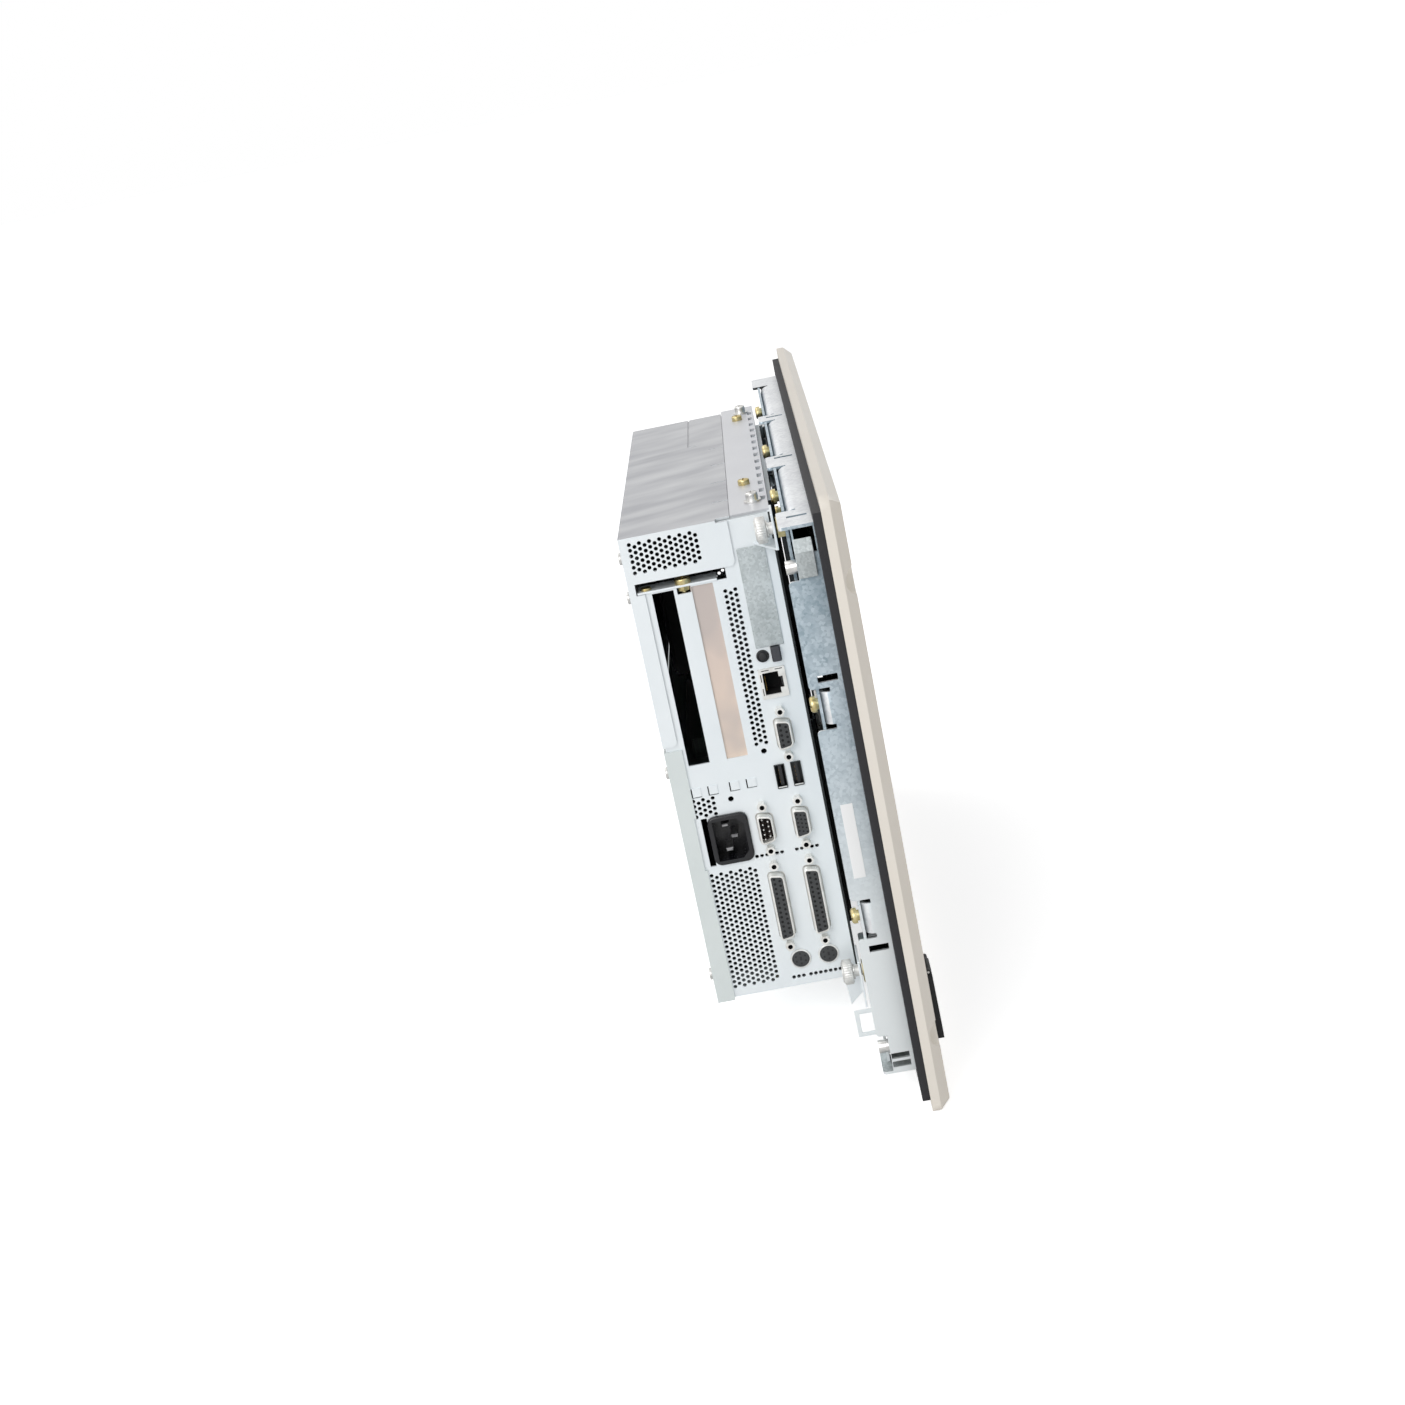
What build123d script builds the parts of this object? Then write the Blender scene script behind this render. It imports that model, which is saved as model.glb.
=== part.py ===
from build123d import *
import math
import os

os.makedirs("parts", exist_ok=True)

# A rack-width industrial panel computer, all lengths in millimetres.
# X runs to the right seen from the front, Y from the front to the back, Z up.
# The origin is the centre of the four rack holes, on the rear plane of the front bezel.
# The panel gasket lies on that plane, and the computing unit hangs behind it on hinges.

# Clearances shared by many pieces
running_gap = 0.3
pin_gap = 0.05
overrun = 2.0
sheet = 1.2
board_thickness = 1.6

# Front bezel, seven rack units high
bezel_width = 482.6
bezel_height = 318.5
bezel_depth = 9.5
bezel_side_strip = 4.5
bezel_corner_radius = 5.6
rack_hole_edge = 8.75
rack_hole_edge_z = 41.775
rack_hole_radius = 3.5
rack_recess_radius = 8.0
rack_recess_floor = 3.5

# Display stack behind the front foil, set in from the bezel's edges
foil_margin_x = 18.3
foil_margin_z = 16.25
foil_thickness = 0.4
foil_corner_radius = 5.0
glass_margin_x = 80.3
glass_margin_z = 36.25
glass_thickness = 3.0
glass_gap = 0.5
window_lap = 9.0
lcd_margin_x = 2.0
lcd_margin_z = 3.5
lcd_thickness = 11.0
lcd_pocket_depth = 4.5
lcd_boss_height = 2.0
lcd_boss_radius = 3.0
interface_length = 120.0
interface_height = 80.0
interface_x = -70.0
interface_z = 30.0
interface_plug_length = 40.0
interface_plug_width = 6.0
interface_plug_height = 4.0

# Gasket between the bezel and the panel that it is built into
gasket_thickness = 4.0
gasket_inset_x = 2.8
gasket_inset_z = 7.1
gasket_hole_radius = 4.2

# Mounting frame, the sheet-metal tub that passes through the panel cut-out
frame_margin_x = 21.3
frame_margin_z = 15.25
frame_depth = 20.6
frame_sheet = 1.5
frame_lip = 9.0
frame_edge_gap = 0.5
clamp_slot_length = 9.8
clamp_slot_width = 3.4
clamp_slot_y = 10.9
clamp_slot_zs = (-74.1, 68.3)
clamp_slot_shares = (-0.455, -0.124, 0.163)
ear_zs = (-57.9, 53.2)
ear_width = 16.4
ear_shares = (-0.3011, 0.0136, 0.3027)
ear_width_top = 104.3
ear_notch_depth = 5.2
ear_notch_width = 2.35
ear_bend_radius = 5.0
tab_rear_y = 16.0
tab_reach = 16.0
side_low_zs = (-122.4, 117.6)
side_low_y = 15.3
plate_corner_cut = 10.0
corner_tab_length = 22.0
side_corner_radius = 2.0
corner_recess_low = 130.0
corner_recess_y = 4.6
corner_recess_depth = 9.8
lug_slot_width = 3.2
lug_slot_pitch = 4.6
lug_slot_z = 132.9
lug_slot_y = 5.8
lug_slot_depth = 9.2

# Back plate of the operating unit and its screws
plate_thickness = 1.4
plate_hole_width = 70.0
plate_hole_height = 46.0
plate_hole_x = -70.0
plate_hole_z = 30.0
plate_vent_length = 60.0
plate_vent_width = 5.0
plate_vent_pitch = 11.0
plate_vent_count = 8
plate_vent_z = -86.0
ear_screw_radius = 4.0
ear_screw_height = 3.0
ear_screw_collar_radius = 2.8
ear_screw_collar_height = 1.2
ear_screw_shank_radius = 2.0
ear_screw_shank_length = 5.0
ear_screw_inset = 7.0
ear_screw_zs = (-57.9, 54.4)
ear_screw_shares = (-0.2677, 0.008, 0.3018)

# Small sheet pieces on the port side of the frame
clip_width = 9.0
clip_height = 18.6
clip_z = 128.3
clip_reach = 2.8
clip_slope = 6.2
clip_y = 10.7
stud_radius = 3.3
stud_zs = (-130.6, 123.4)
label_length = 39.2
label_width = 6.0
label_thickness = 0.3
label_y = 13.6
label_z = -15.8
lug_z = -128.0
lug_height = 15.0
lug_reach = 11.0
lug_length = 11.0
lug_x = -186.0
lug_window_share = 0.72

# Computing unit: outer faces of its chassis
unit_left = -138.4
unit_right = 163.5
unit_front = 23.3
port_front = 24.4
unit_rear = 100.2
unit_bottom = -125.5
unit_top = 134.3
seam_y = 43.8
chassis_flange_y = 58.0
chassis_flange_gap = 3.2
standoff_radius = 3.0
dish_left = -78.0
dish_right = 148.0
dish_low = -121.0
dish_high = 127.0
dish_depth = 2.4
front_port_width = 90.0
front_port_height = 60.0
front_port_x = -60.0
front_port_z = 32.0

# Top channel of the chassis, with its row of louvres
channel_left = -134.0
channel_right = 173.0
channel_drop = 14.0
louvre_length = 9.0
louvre_width = 2.8
louvre_pitch = 19.5
louvre_count = 14
louvre_y = 25.5

# Rear covers
lip_width = 8.0
lower_lip_width = 9.5
flap_front_y = 45.2
flap_bottom_z = 111.0
flap_corner_radius = 3.0
cover_split_z = 20.6
cover_split_gap = 2.6
bottom_lip_depth = 8.0
inlet_relief_top = -19.5
inlet_relief_bottom = -49.6
inlet_gap = (86.7, 89.9, -48.4, -20.9)
cover_slit_length = 8.5
cover_slit_width = 1.4
cover_slit_margin = 1.0
cover_relief_length = 7.4
cover_relief_width = 5.0
cover_slit_pitch = 49.6
cover_slit_x = 52.6
cover_slit_count = 4
bead_y = 64.4
bead_x = 72.0
bead_jog = 5.0
bead_width = 1.0
bead_depth = 0.7

# Perforations, a staggered field of round holes
perf_pitch = 3.0
perf_radius = 1.05
perf_inset = 0.9
upper_vent = (59.0, 97.0, 116.0, 133.0)
strip_vent = (46.6, 54.0, 13.5, 102.0)
patch_vent = (80.0, 92.6, -20.2, -7.8)
big_vent = (65.6, 91.4, -120.4, -50.8)
row_step = 2.7
upper_row_z = -47.4
upper_row_rear_y = 51.2
upper_row_rear_count = 6
upper_row_front_y = 32.4
upper_row_front_count = 5
lower_row_z = -120.2
lower_row_rear_y = 52.9
lower_row_rear_count = 3
lower_row_front_y = 32.8
lower_row_front_count = 7

# Card slots
slot_width = 11.2
slot_pitch = 20.32
slot_low_z = 9.4
slot_high_z = 104.2
open_slot_y = 84.5
blank_overlap = 0.6
rail_front = 56.0
rail_rear = 97.2
rail_reach = 12.0
rail_proud = 0.8
rail_gap_top = 112.4
rail_gap_front = 51.0
rail_gap_rear = 97.7
rail_gap_low = 104.9
rail_notch_width = 7.4
rail_notch_depth = 3.6
rail_screw_y = 73.5
rail_screw_depth = 3.2
zinc_head_radius = 4.2
zinc_head_height = 3.0
zinc_shank_radius = 1.5
zinc_shank_length = 5.2
zinc_nut_across = 5.5
zinc_nut_height = 2.4
rail_rivet_y = 92.7
rail_rivet_radius = 2.8
rail_rivet_height = 1.4

# Embossed tabs and screw holes in the port plate
emboss_size = 4.6
emboss_depth = 0.6
emboss_slit = 0.7
emboss_z = -5.7
emboss_ys = (88.9, 80.0, 68.5, 59.5)
port_hole_radius = 1.5
port_hole_upper = (50.0, 10.0)
port_hole_lower = (72.0, -12.7)

# Card cover, buttons and their holes
card_cover_front = 29.0
card_cover_rear = 43.6
card_cover_low = 65.4
card_cover_high = 119.0
card_cover_thickness = 0.8
reset_y = 40.9
reset_z = 60.8
reset_radius = 3.1
reset_proud = 1.4
reset_stem = 6.0
ejector_y = 33.9
ejector_z = 61.2
ejector_width = 4.4
ejector_height = 7.8
ejector_proud = 3.2
ejector_stem = 9.0

# Network socket
net_y = 38.0
net_z = 45.9
net_width = 13.8
net_height = 16.2
net_proud = 1.2
net_depth = 18.0
net_opening_width = 8.2
net_opening_height = 11.9
net_latch_width = 2.0
net_latch_height = 6.0
net_opening_depth = 13.0

# Stacked bus sockets
usb_ys = (35.2, 43.9)
usb_z = -5.4
usb_width = 5.4
usb_height = 13.3
usb_wall = 0.5
usb_proud = 0.9
usb_depth = 14.0
usb_tongue_width = 1.9
usb_tongue_height = 11.0
usb_tongue_offset = 0.9

# Trapezoid connectors, nine to twenty-five contacts
column_low_y = 37.8
column_high_y = 56.8
nine_z = 18.1
upper_pair_z = -31.8
lower_pair_z = -76.9
small_jack_pitch = 24.99
large_jack_pitch = 47.04
small_shell_length = 16.8
large_shell_length = 38.8
shell_width = 8.2
shell_wall = 0.5
shell_corner_radius = 2.2
shell_slant_share = 0.17
shell_proud = 5.0
shell_clearance = 0.6
dsub_flange_margin = 3.0
dsub_flange_width = 12.4
dsub_flange_thickness = 0.8
dsub_body_depth = 10.0
dsub_body_margin = 1.0
insert_recess = 0.7
contact_radius = 0.5
contact_pitch = 2.76
contact_row_pitch = 2.84
contact_depth = 2.0
pin_recess = 0.9
vga_pitch = 2.29
vga_row_pitch = 1.98
jack_radius = 2.6
jack_length = 4.4
jack_hole_radius = 1.3
jack_hole_depth = 3.6
jack_shank_radius = 1.4
jack_shank_length = 3.6
jack_shank_gap = 0.2

# Round keyboard and mouse sockets
din_ys = (37.5, 52.7)
din_z = -110.0
din_radius = 4.9
din_ring_radius = 5.6
din_proud = 1.0
din_depth = 13.0
din_face_recess = 0.6
din_contact_circle = 2.9
din_contact_radius = 0.55
din_key_width = 2.2
din_key_height = 1.2
din_block_margin = 1.6

# Mains inlet
inlet_y = 76.2
inlet_z = -34.4
inlet_flange_width = 21.6
inlet_flange_height = 27.8
inlet_flange_proud = 2.6
inlet_flange_radius = 3.0
inlet_body_width = 19.6
inlet_body_height = 25.6
inlet_body_depth = 20.0
inlet_cup_width = 16.6
inlet_cup_height = 22.6
inlet_cup_depth = 16.5
inlet_cup_chamfer = 3.6
inlet_pin_width = 2.0
inlet_pin_height = 4.0
inlet_pin_length = 12.0
inlet_pin_pitch = 14.0
inlet_pin_offset = 1.9
inlet_earth_offset = 2.1

# Latch flanges, thumbscrews and their nuts
latch_x = -150.0
latch_upper_z = 128.6
latch_lower_z = -117.4
latch_width = 20.0
latch_height = 18.6
latch_gusset_length = 11.0
latch_web_low = -142.5
latch_web_rear = 31.8
latch_web_share = 0.56
knob_radius = 6.9
knob_length = 5.2
knob_groove_count = 24
knob_groove_radius = 0.55
knob_cap_radius = 5.4
knob_cap_length = 0.6
thumb_shank_radius = 3.2
washer_radius = 4.4
washer_thickness = 0.8
thread_pitch = 1.0
thumb_turns = 2
nut_across = 9.6
nut_height = 3.9

# Hinges on the side away from the ports
hinge_x = 178.0
hinge_y = 21.4
hinge_upper_z = 100.0
hinge_lower_z = -92.0
hinge_length = 40.0
hinge_knuckle_radius = 3.0
hinge_pin_radius = 1.5
hinge_leaf = 1.5
hinge_leaf_width = 26.0
hinge_head_radius = 2.4
hinge_head_height = 1.2

# Screw heads on the covers
screw_radius = 3.2
screw_height = 1.8
screw_shank_radius = 1.5
screw_shank_length = 4.5
dome_share = 0.78
screw_recess_width = 0.9
screw_recess_depth = 0.8
rear_screw_inset = 7.0
rear_screw_zs = (124.0, 103.0, 6.0, -112.0)
washer_head_radius = 4.6
washer_head_height = 1.0
top_screws = ((-65.6, 34.3), (130.6, 33.7))
top_washer_screws = ((-112.0, 31.0), (151.0, 31.0))
top_washer_head_height = 4.4
bottom_screw_ys = (68.2, 41.6)
bottom_screw_inset = 12.0

# Boards, drive, supply and fan inside the computing unit
board_y = 28.9
mother_left = -134.0
mother_right = 100.0
mother_low = -118.0
mother_high = 122.0
mother_inset = 10.0
cpu_size = 38.0
cpu_height = 2.4
cpu_x = 34.0
cpu_z = -44.0
chipset_size = 30.0
chipset_height = 2.0
chipset_x = -40.0
chipset_z = -60.0
heatsink_size = 60.0
heatsink_base = 4.0
heatsink_height = 24.0
heatsink_fin = 1.2
heatsink_fin_count = 12
riser_left = -110.0
riser_right = 50.0
riser_rear = 94.0
riser_z = -2.4
riser_socket_length = 85.0
riser_socket_width = 8.0
riser_socket_height = 11.0
riser_socket_x = -98.0
supply_left = -110.0
supply_right = -8.0
supply_front = 60.0
supply_rear = 98.6
supply_high = -18.0
supply_sheet = 1.0
coil_radius = 11.0
coil_height = 24.0
can_radius = 8.0
can_height = 28.0
disk_left = -14.0
disk_length = 147.0
disk_width = 101.6
disk_thickness = 26.1
disk_low = 22.0
disk_front = 69.2
disk_rebate = 2.0
tray_margin = 6.0
fan_size = 60.0
fan_depth = 15.0
fan_y = 62.0
fan_z = 58.0
fan_bore_radius = 28.6
fan_blade_radius = 27.4
fan_hub_radius = 12.0
fan_hub_length = 10.0
fan_shaft_radius = 1.5
fan_mount_thickness = 2.4
fan_strut_width = 3.0
fan_blade_count = 7
fan_blade_pitch_angle = 38.0
fan_blade_thickness = 1.2
fan_blade_chord = 13.0
fan_screw_pitch = 50.0
fan_screw_radius = 2.2

# Front cover flap over the service socket
flap_edge = 27.3
flap_width = 20.0
flap_pivot_z = -95.2
flap_drop = 37.2
flap_pivot_proud = 1.5
flap_barrel_radius = 1.25
flap_pin_radius = 0.6
flap_plate_thickness = 2.9
flap_lip_thickness = 3.3
flap_lip_height = 5.0
flap_ear_width = 3.5
flap_base_margin = 1.2
flap_base_depth = 8.5
flap_base_wall = 1.6
service_opening_width = 13.3
service_opening_height = 5.6
service_socket_depth = 14.0
service_offset = 22.0

# Derived places
rack_pitch_x = bezel_width - 2 * rack_hole_edge
rack_pitch_z = bezel_height - 2 * rack_hole_edge_z
foil_width = bezel_width - 2 * foil_margin_x
foil_height = bezel_height - 2 * foil_margin_z
glass_width = bezel_width - 2 * glass_margin_x
glass_height = bezel_height - 2 * glass_margin_z
window_width = glass_width - 2 * window_lap
window_height = glass_height - 2 * window_lap
lcd_width = glass_width + 2 * lcd_margin_x
lcd_height = glass_height + 2 * lcd_margin_z
frame_width = bezel_width - 2 * frame_margin_x
frame_height = bezel_height - 2 * frame_margin_z
flap_left = flap_edge - bezel_width / 2
frame_left = -frame_width / 2
frame_right = frame_width / 2
frame_low = -frame_height / 2
frame_high = frame_height / 2
port_outer = unit_left
port_inner = unit_left + sheet
cover_outer = unit_left - sheet
cover_right = unit_right + sheet
cover_rear = unit_rear + sheet
cover_top = unit_top + sheet
board_rear = board_y + board_thickness
front_wall_rear = unit_front + sheet
plate_rear = tab_rear_y + plate_thickness
blank_slot_y = open_slot_y - slot_pitch
latch_front = unit_front - sheet
nut_rear = plate_rear + nut_height
thumb_travel = thread_pitch * thumb_turns
washer_front = unit_front + thumb_travel + running_gap
washer_rear = washer_front + washer_thickness
fan_face = unit_right - sheet
rotor_rear = fan_face - fan_mount_thickness - running_gap
rotor_front = rotor_rear - fan_hub_length
rail_low = rail_gap_low + pin_gap
rail_top = rail_low + sheet
rail_screw_x = port_outer + rail_screw_depth
lcd_rear = lcd_thickness - lcd_pocket_depth


def block(x0, x1, y0, y1, z0, z1):
    """A box between two corners."""
    middle = ((x0 + x1) / 2, (y0 + y1) / 2, (z0 + z1) / 2)
    return Pos(*middle) * Box(abs(x1 - x0), abs(y1 - y0), abs(z1 - z0))


def slab(width, height, radius, y0, y1, x=0, z=0):
    """A plate in the XZ plane with rounded corners, from y0 back to y1."""
    shape = Plane.XZ * RectangleRounded(width, height, radius)
    return Pos(x, y1, z) * extrude(shape, y1 - y0)


def rod_x(radius, x0, x1, y, z):
    """A round bar along X."""
    return Pos((x0 + x1) / 2, y, z) * Rot(0, 90, 0) * Cylinder(radius, abs(x1 - x0))


def rod_y(radius, y0, y1, x, z):
    """A round bar along Y."""
    return Pos(x, (y0 + y1) / 2, z) * Rot(90, 0, 0) * Cylinder(radius, abs(y1 - y0))


def rod_z(radius, z0, z1, x, y):
    """A round bar along Z."""
    return Pos(x, y, (z0 + z1) / 2) * Cylinder(radius, abs(z1 - z0))


def side_plane(x):
    """The plane across X at x, with its own axes along Y and Z."""
    return Plane(origin=(x, 0, 0), x_dir=(0, 1, 0), z_dir=(1, 0, 0))


def round_wire(y, z, radius):
    return (Pos(y, z) * Circle(radius)).face().outer_wire()


def box_wire(y0, y1, z0, z1):
    return (Pos((y0 + y1) / 2, (z0 + z1) / 2) * Rectangle(abs(y1 - y0), abs(z1 - z0))).face().outer_wire()


def middle_wire(y, z, width, height, gap):
    """A box by its middle, with a gap all round."""
    return box_wire(y - width / 2 - gap, y + width / 2 + gap, z - height / 2 - gap, z + height / 2 + gap)


def side_sheet(outline, holes, x0, x1):
    """A sheet across X from an outline and hole wires, all drawn in Y and Z."""
    face = side_plane(x0) * Face(outline, holes)
    return Solid.extrude(face, Vector(x1 - x0, 0, 0))


def hole_field(y0, y1, z0, z1):
    """Centres of the staggered perforations that fit in a rectangle."""
    column_step = perf_pitch * math.sqrt(3) / 2
    columns = int((y1 - y0 - 2 * perf_inset) / column_step) + 1
    rows = int((z1 - z0 - 2 * perf_inset) / perf_pitch) + 1
    centres = []
    for column in range(columns):
        y = y1 - perf_inset - column * column_step
        shift = perf_pitch / 2 * (column % 2)
        for row in range(rows - column % 2):
            centres.append((y, z0 + perf_inset + shift + row * perf_pitch))
    return centres


def hole_row(first, count, z):
    """Centres of one straight row of perforations."""
    return [(first + index * row_step, z) for index in range(count)]


def perforations(centres):
    return [round_wire(y, z, perf_radius) for y, z in centres]


# Front bezel and display stack

def front_bezel():
    """Cast bezel with a bevelled front edge, rack holes, display window and flap opening."""
    plate = slab(bezel_width, bezel_height, bezel_corner_radius, -bezel_depth, 0)
    rim = plate.faces().sort_by(Axis.Y)[0].outer_wire().edges()
    plate = chamfer(rim, bezel_depth - bezel_side_strip)
    foil_floor = -bezel_depth + foil_thickness
    glass_floor = foil_floor + glass_thickness
    cuts = [
        slab(foil_width, foil_height, foil_corner_radius, -bezel_depth - overrun, foil_floor),
        block(-glass_width / 2 - glass_gap, glass_width / 2 + glass_gap, foil_floor - overrun, glass_floor,
              -glass_height / 2 - glass_gap, glass_height / 2 + glass_gap),
        block(-window_width / 2, window_width / 2, glass_floor - overrun, overrun,
              -window_height / 2, window_height / 2),
        block(-lcd_width / 2 - glass_gap, lcd_width / 2 + glass_gap, -lcd_pocket_depth, overrun,
              -lcd_height / 2 - glass_gap, lcd_height / 2 + glass_gap),
        flap_opening(0, -bezel_depth - overrun, overrun),
    ]
    for x in (-rack_pitch_x / 2, rack_pitch_x / 2):
        for z in (-rack_pitch_z / 2, rack_pitch_z / 2):
            cuts.append(rod_y(rack_hole_radius, -bezel_depth - overrun, overrun, x, z))
            cuts.append(rod_y(rack_recess_radius, -bezel_depth - overrun, -rack_recess_floor, x, z))
    return plate - cuts


def flap_opening(margin, y0, y1):
    """The box that the flap's base fills in the bezel, shrunk by a margin."""
    left = flap_left - flap_base_margin + margin
    right = flap_left + flap_width + flap_base_margin - margin
    high = flap_pivot_z + flap_barrel_radius + flap_base_margin - margin
    low = flap_pivot_z - flap_drop - flap_base_margin + margin
    return block(left, right, y0, y1, low, high)


def front_foil():
    """Printed foil around the display, with its window and the flap's opening cut out."""
    foil = slab(foil_width - glass_gap, foil_height - glass_gap, foil_corner_radius,
                -bezel_depth, -bezel_depth + foil_thickness)
    window = block(-window_width / 2, window_width / 2, -bezel_depth - overrun, 0,
                   -window_height / 2, window_height / 2)
    return foil - [window, flap_opening(-glass_gap, -bezel_depth - overrun, 0)]


def touch_glass():
    front = -bezel_depth + foil_thickness
    return block(-glass_width / 2, glass_width / 2, front, front + glass_thickness,
                 -glass_height / 2, glass_height / 2)


def board_corners(x, z, length, height, inset):
    """Four places near the corners of a board in the XZ plane."""
    dx, dz = length / 2 - inset, height / 2 - inset
    return [(x - dx, z - dz), (x + dx, z - dz), (x - dx, z + dz), (x + dx, z + dz)]


def lcd_module():
    """Display panel in its metal frame, with bosses that carry the interface board."""
    body = block(-lcd_width / 2, lcd_width / 2, -lcd_pocket_depth, lcd_rear, -lcd_height / 2, lcd_height / 2)
    spots = board_corners(interface_x, interface_z, interface_length, interface_height, lcd_boss_radius)
    return body + [rod_y(lcd_boss_radius, lcd_rear, lcd_rear + lcd_boss_height, x, z) for x, z in spots]


def interface_board():
    """Display interface board with its two cable sockets."""
    y = lcd_rear + lcd_boss_height
    half_x, half_z = interface_length / 2, interface_height / 2
    board = block(interface_x - half_x, interface_x + half_x, y, y + board_thickness,
                  interface_z - half_z, interface_z + half_z)
    plugs = []
    for side in (-1, 1):
        z = interface_z + side * half_z / 2
        plugs.append(block(interface_x - interface_plug_length / 2, interface_x + interface_plug_length / 2,
                           y, y + board_thickness + interface_plug_height,
                           z - interface_plug_width / 2, z + interface_plug_width / 2))
    return board + plugs


def panel_gasket():
    """Rubber ring between the bezel and the panel, with clearance for the rack screws."""
    ring = block(-bezel_width / 2 + gasket_inset_x, bezel_width / 2 - gasket_inset_x, 0, gasket_thickness,
                 -bezel_height / 2 + gasket_inset_z, bezel_height / 2 - gasket_inset_z)
    hole = block(frame_left - frame_edge_gap, frame_right + frame_edge_gap,
                 -overrun, gasket_thickness + overrun,
                 frame_low - frame_edge_gap, frame_high + frame_edge_gap)
    cuts = [hole]
    for x in (-rack_pitch_x / 2, rack_pitch_x / 2):
        for z in (-rack_pitch_z / 2, rack_pitch_z / 2):
            cuts.append(rod_y(gasket_hole_radius, -overrun, gasket_thickness + overrun, x, z))
    return ring - cuts


# Flap over the service socket on the front

def flap_pivot_y():
    return -bezel_depth - flap_pivot_proud


def flap_base():
    """Moulded insert in the bezel, with the socket's opening and two hinge ears."""
    y_pivot = flap_pivot_y()
    body = flap_opening(glass_gap / 2, -bezel_depth, -bezel_depth + flap_base_depth)
    middle_x = flap_left + flap_width / 2
    socket_z = flap_pivot_z - service_offset
    hollow = block(flap_left + flap_base_wall, flap_left + flap_width - flap_base_wall,
                   -bezel_depth + flap_base_wall, 0,
                   flap_pivot_z - flap_drop + flap_base_wall, flap_pivot_z - flap_base_wall)
    opening = block(middle_x - service_opening_width / 2, middle_x + service_opening_width / 2,
                    -bezel_depth - overrun, 0,
                    socket_z - service_opening_height / 2, socket_z + service_opening_height / 2)
    ears = []
    bores = []
    for x0 in (flap_left, flap_left + flap_width - flap_ear_width):
        x1 = x0 + flap_ear_width
        ear = rod_x(flap_barrel_radius, x0, x1, y_pivot, flap_pivot_z)
        foot = block(x0, x1, y_pivot, -bezel_depth + flap_base_wall / 2,
                     flap_pivot_z - flap_barrel_radius, flap_pivot_z + flap_barrel_radius)
        ears += [ear, foot]
        bores.append(rod_x(flap_pin_radius + pin_gap, x0 - overrun, x1 + overrun, y_pivot, flap_pivot_z))
    return body - [hollow, opening] + ears - bores


def flap_pin():
    return rod_x(flap_pin_radius, flap_left, flap_left + flap_width, flap_pivot_y(), flap_pivot_z)


def front_flap():
    """Cover flap: a wedge plate with a barrel at its top edge and a finger lip below."""
    y_pivot = flap_pivot_y()
    left, right = flap_left, flap_left + flap_width
    back = -bezel_depth - running_gap
    barrel_left = left + flap_ear_width + running_gap
    barrel_right = right - flap_ear_width - running_gap
    low = flap_pivot_z - flap_drop
    shoulder = flap_pivot_z - flap_barrel_radius - running_gap
    front = back - flap_plate_thickness
    lip_front = back - flap_lip_thickness
    outline = [(back, shoulder), (front, shoulder), (lip_front, low + flap_lip_height), (lip_front, low),
               (back, low)]
    profile = Wire.make_polygon([(left, y, z) for y, z in outline])
    plate = Solid.extrude(Face(profile), Vector(right - left, 0, 0))
    neck = block(barrel_left, barrel_right, front, back, shoulder - flap_barrel_radius, flap_pivot_z)
    barrel = rod_x(flap_barrel_radius, barrel_left, barrel_right, y_pivot, flap_pivot_z)
    bore = rod_x(flap_pin_radius + pin_gap, left, right, y_pivot, flap_pivot_z)
    return Part() + plate + neck + barrel - bore


def service_socket():
    """Bus socket behind the flap, facing the front."""
    x = flap_left + flap_width / 2
    z = flap_pivot_z - service_offset
    front = -bezel_depth + flap_base_wall
    outer = block(x - service_opening_width / 2, x + service_opening_width / 2, front,
                  front + service_socket_depth,
                  z - service_opening_height / 2, z + service_opening_height / 2)
    inner = block(x - service_opening_width / 2 + usb_wall, x + service_opening_width / 2 - usb_wall,
                  front - overrun, front + service_socket_depth - usb_tongue_width,
                  z - service_opening_height / 2 + usb_wall, z + service_opening_height / 2 - usb_wall)
    tongue = block(x - usb_tongue_height / 2, x + usb_tongue_height / 2, front + usb_wall,
                   front + service_socket_depth,
                   z + service_opening_height / 2 - usb_wall - usb_tongue_offset - usb_tongue_width,
                   z + service_opening_height / 2 - usb_wall - usb_tongue_offset)
    return outer - inner + tongue


# Mounting frame and back plate

def ear_spans():
    """Where each wall is notched for an ear of the back plate: side, low end, high end."""
    spans = []
    for side in ("left", "right"):
        for z in ear_zs:
            spans.append((side, z - ear_width / 2, z + ear_width / 2))
    for side in ("low", "high"):
        for share in ear_shares:
            x = share * frame_width
            spans.append((side, x - ear_width_top / 2, x + ear_width_top / 2))
    return spans


def wall_box(side, low, high, inner, outer, y0, y1):
    """A box on one wall: low to high along the wall, inner to outer across it."""
    if side == "left":
        return block(frame_left - outer, frame_left + inner, y0, y1, low, high)
    if side == "right":
        return block(frame_right - inner, frame_right + outer, y0, y1, low, high)
    if side == "low":
        return block(low, high, y0, y1, frame_low - outer, frame_low + inner)
    return block(low, high, y0, y1, frame_high - inner, frame_high + outer)


def ear_bend(side, low, high):
    """The rounded fold between a wall and one of its tabs."""
    y = tab_rear_y - ear_bend_radius
    inner = ear_bend_radius - frame_sheet
    if side in ("left", "right"):
        x = frame_left + ear_bend_radius if side == "left" else frame_right - ear_bend_radius
        tube = rod_z(ear_bend_radius, low, high, x, y) - rod_z(inner, low - overrun, high + overrun, x, y)
    else:
        z = frame_low + ear_bend_radius if side == "low" else frame_high - ear_bend_radius
        tube = rod_x(ear_bend_radius, low, high, y, z) - rod_x(inner, low - overrun, high + overrun, y, z)
    return tube & wall_box(side, low, high, ear_bend_radius, 0, y, tab_rear_y)


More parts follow.
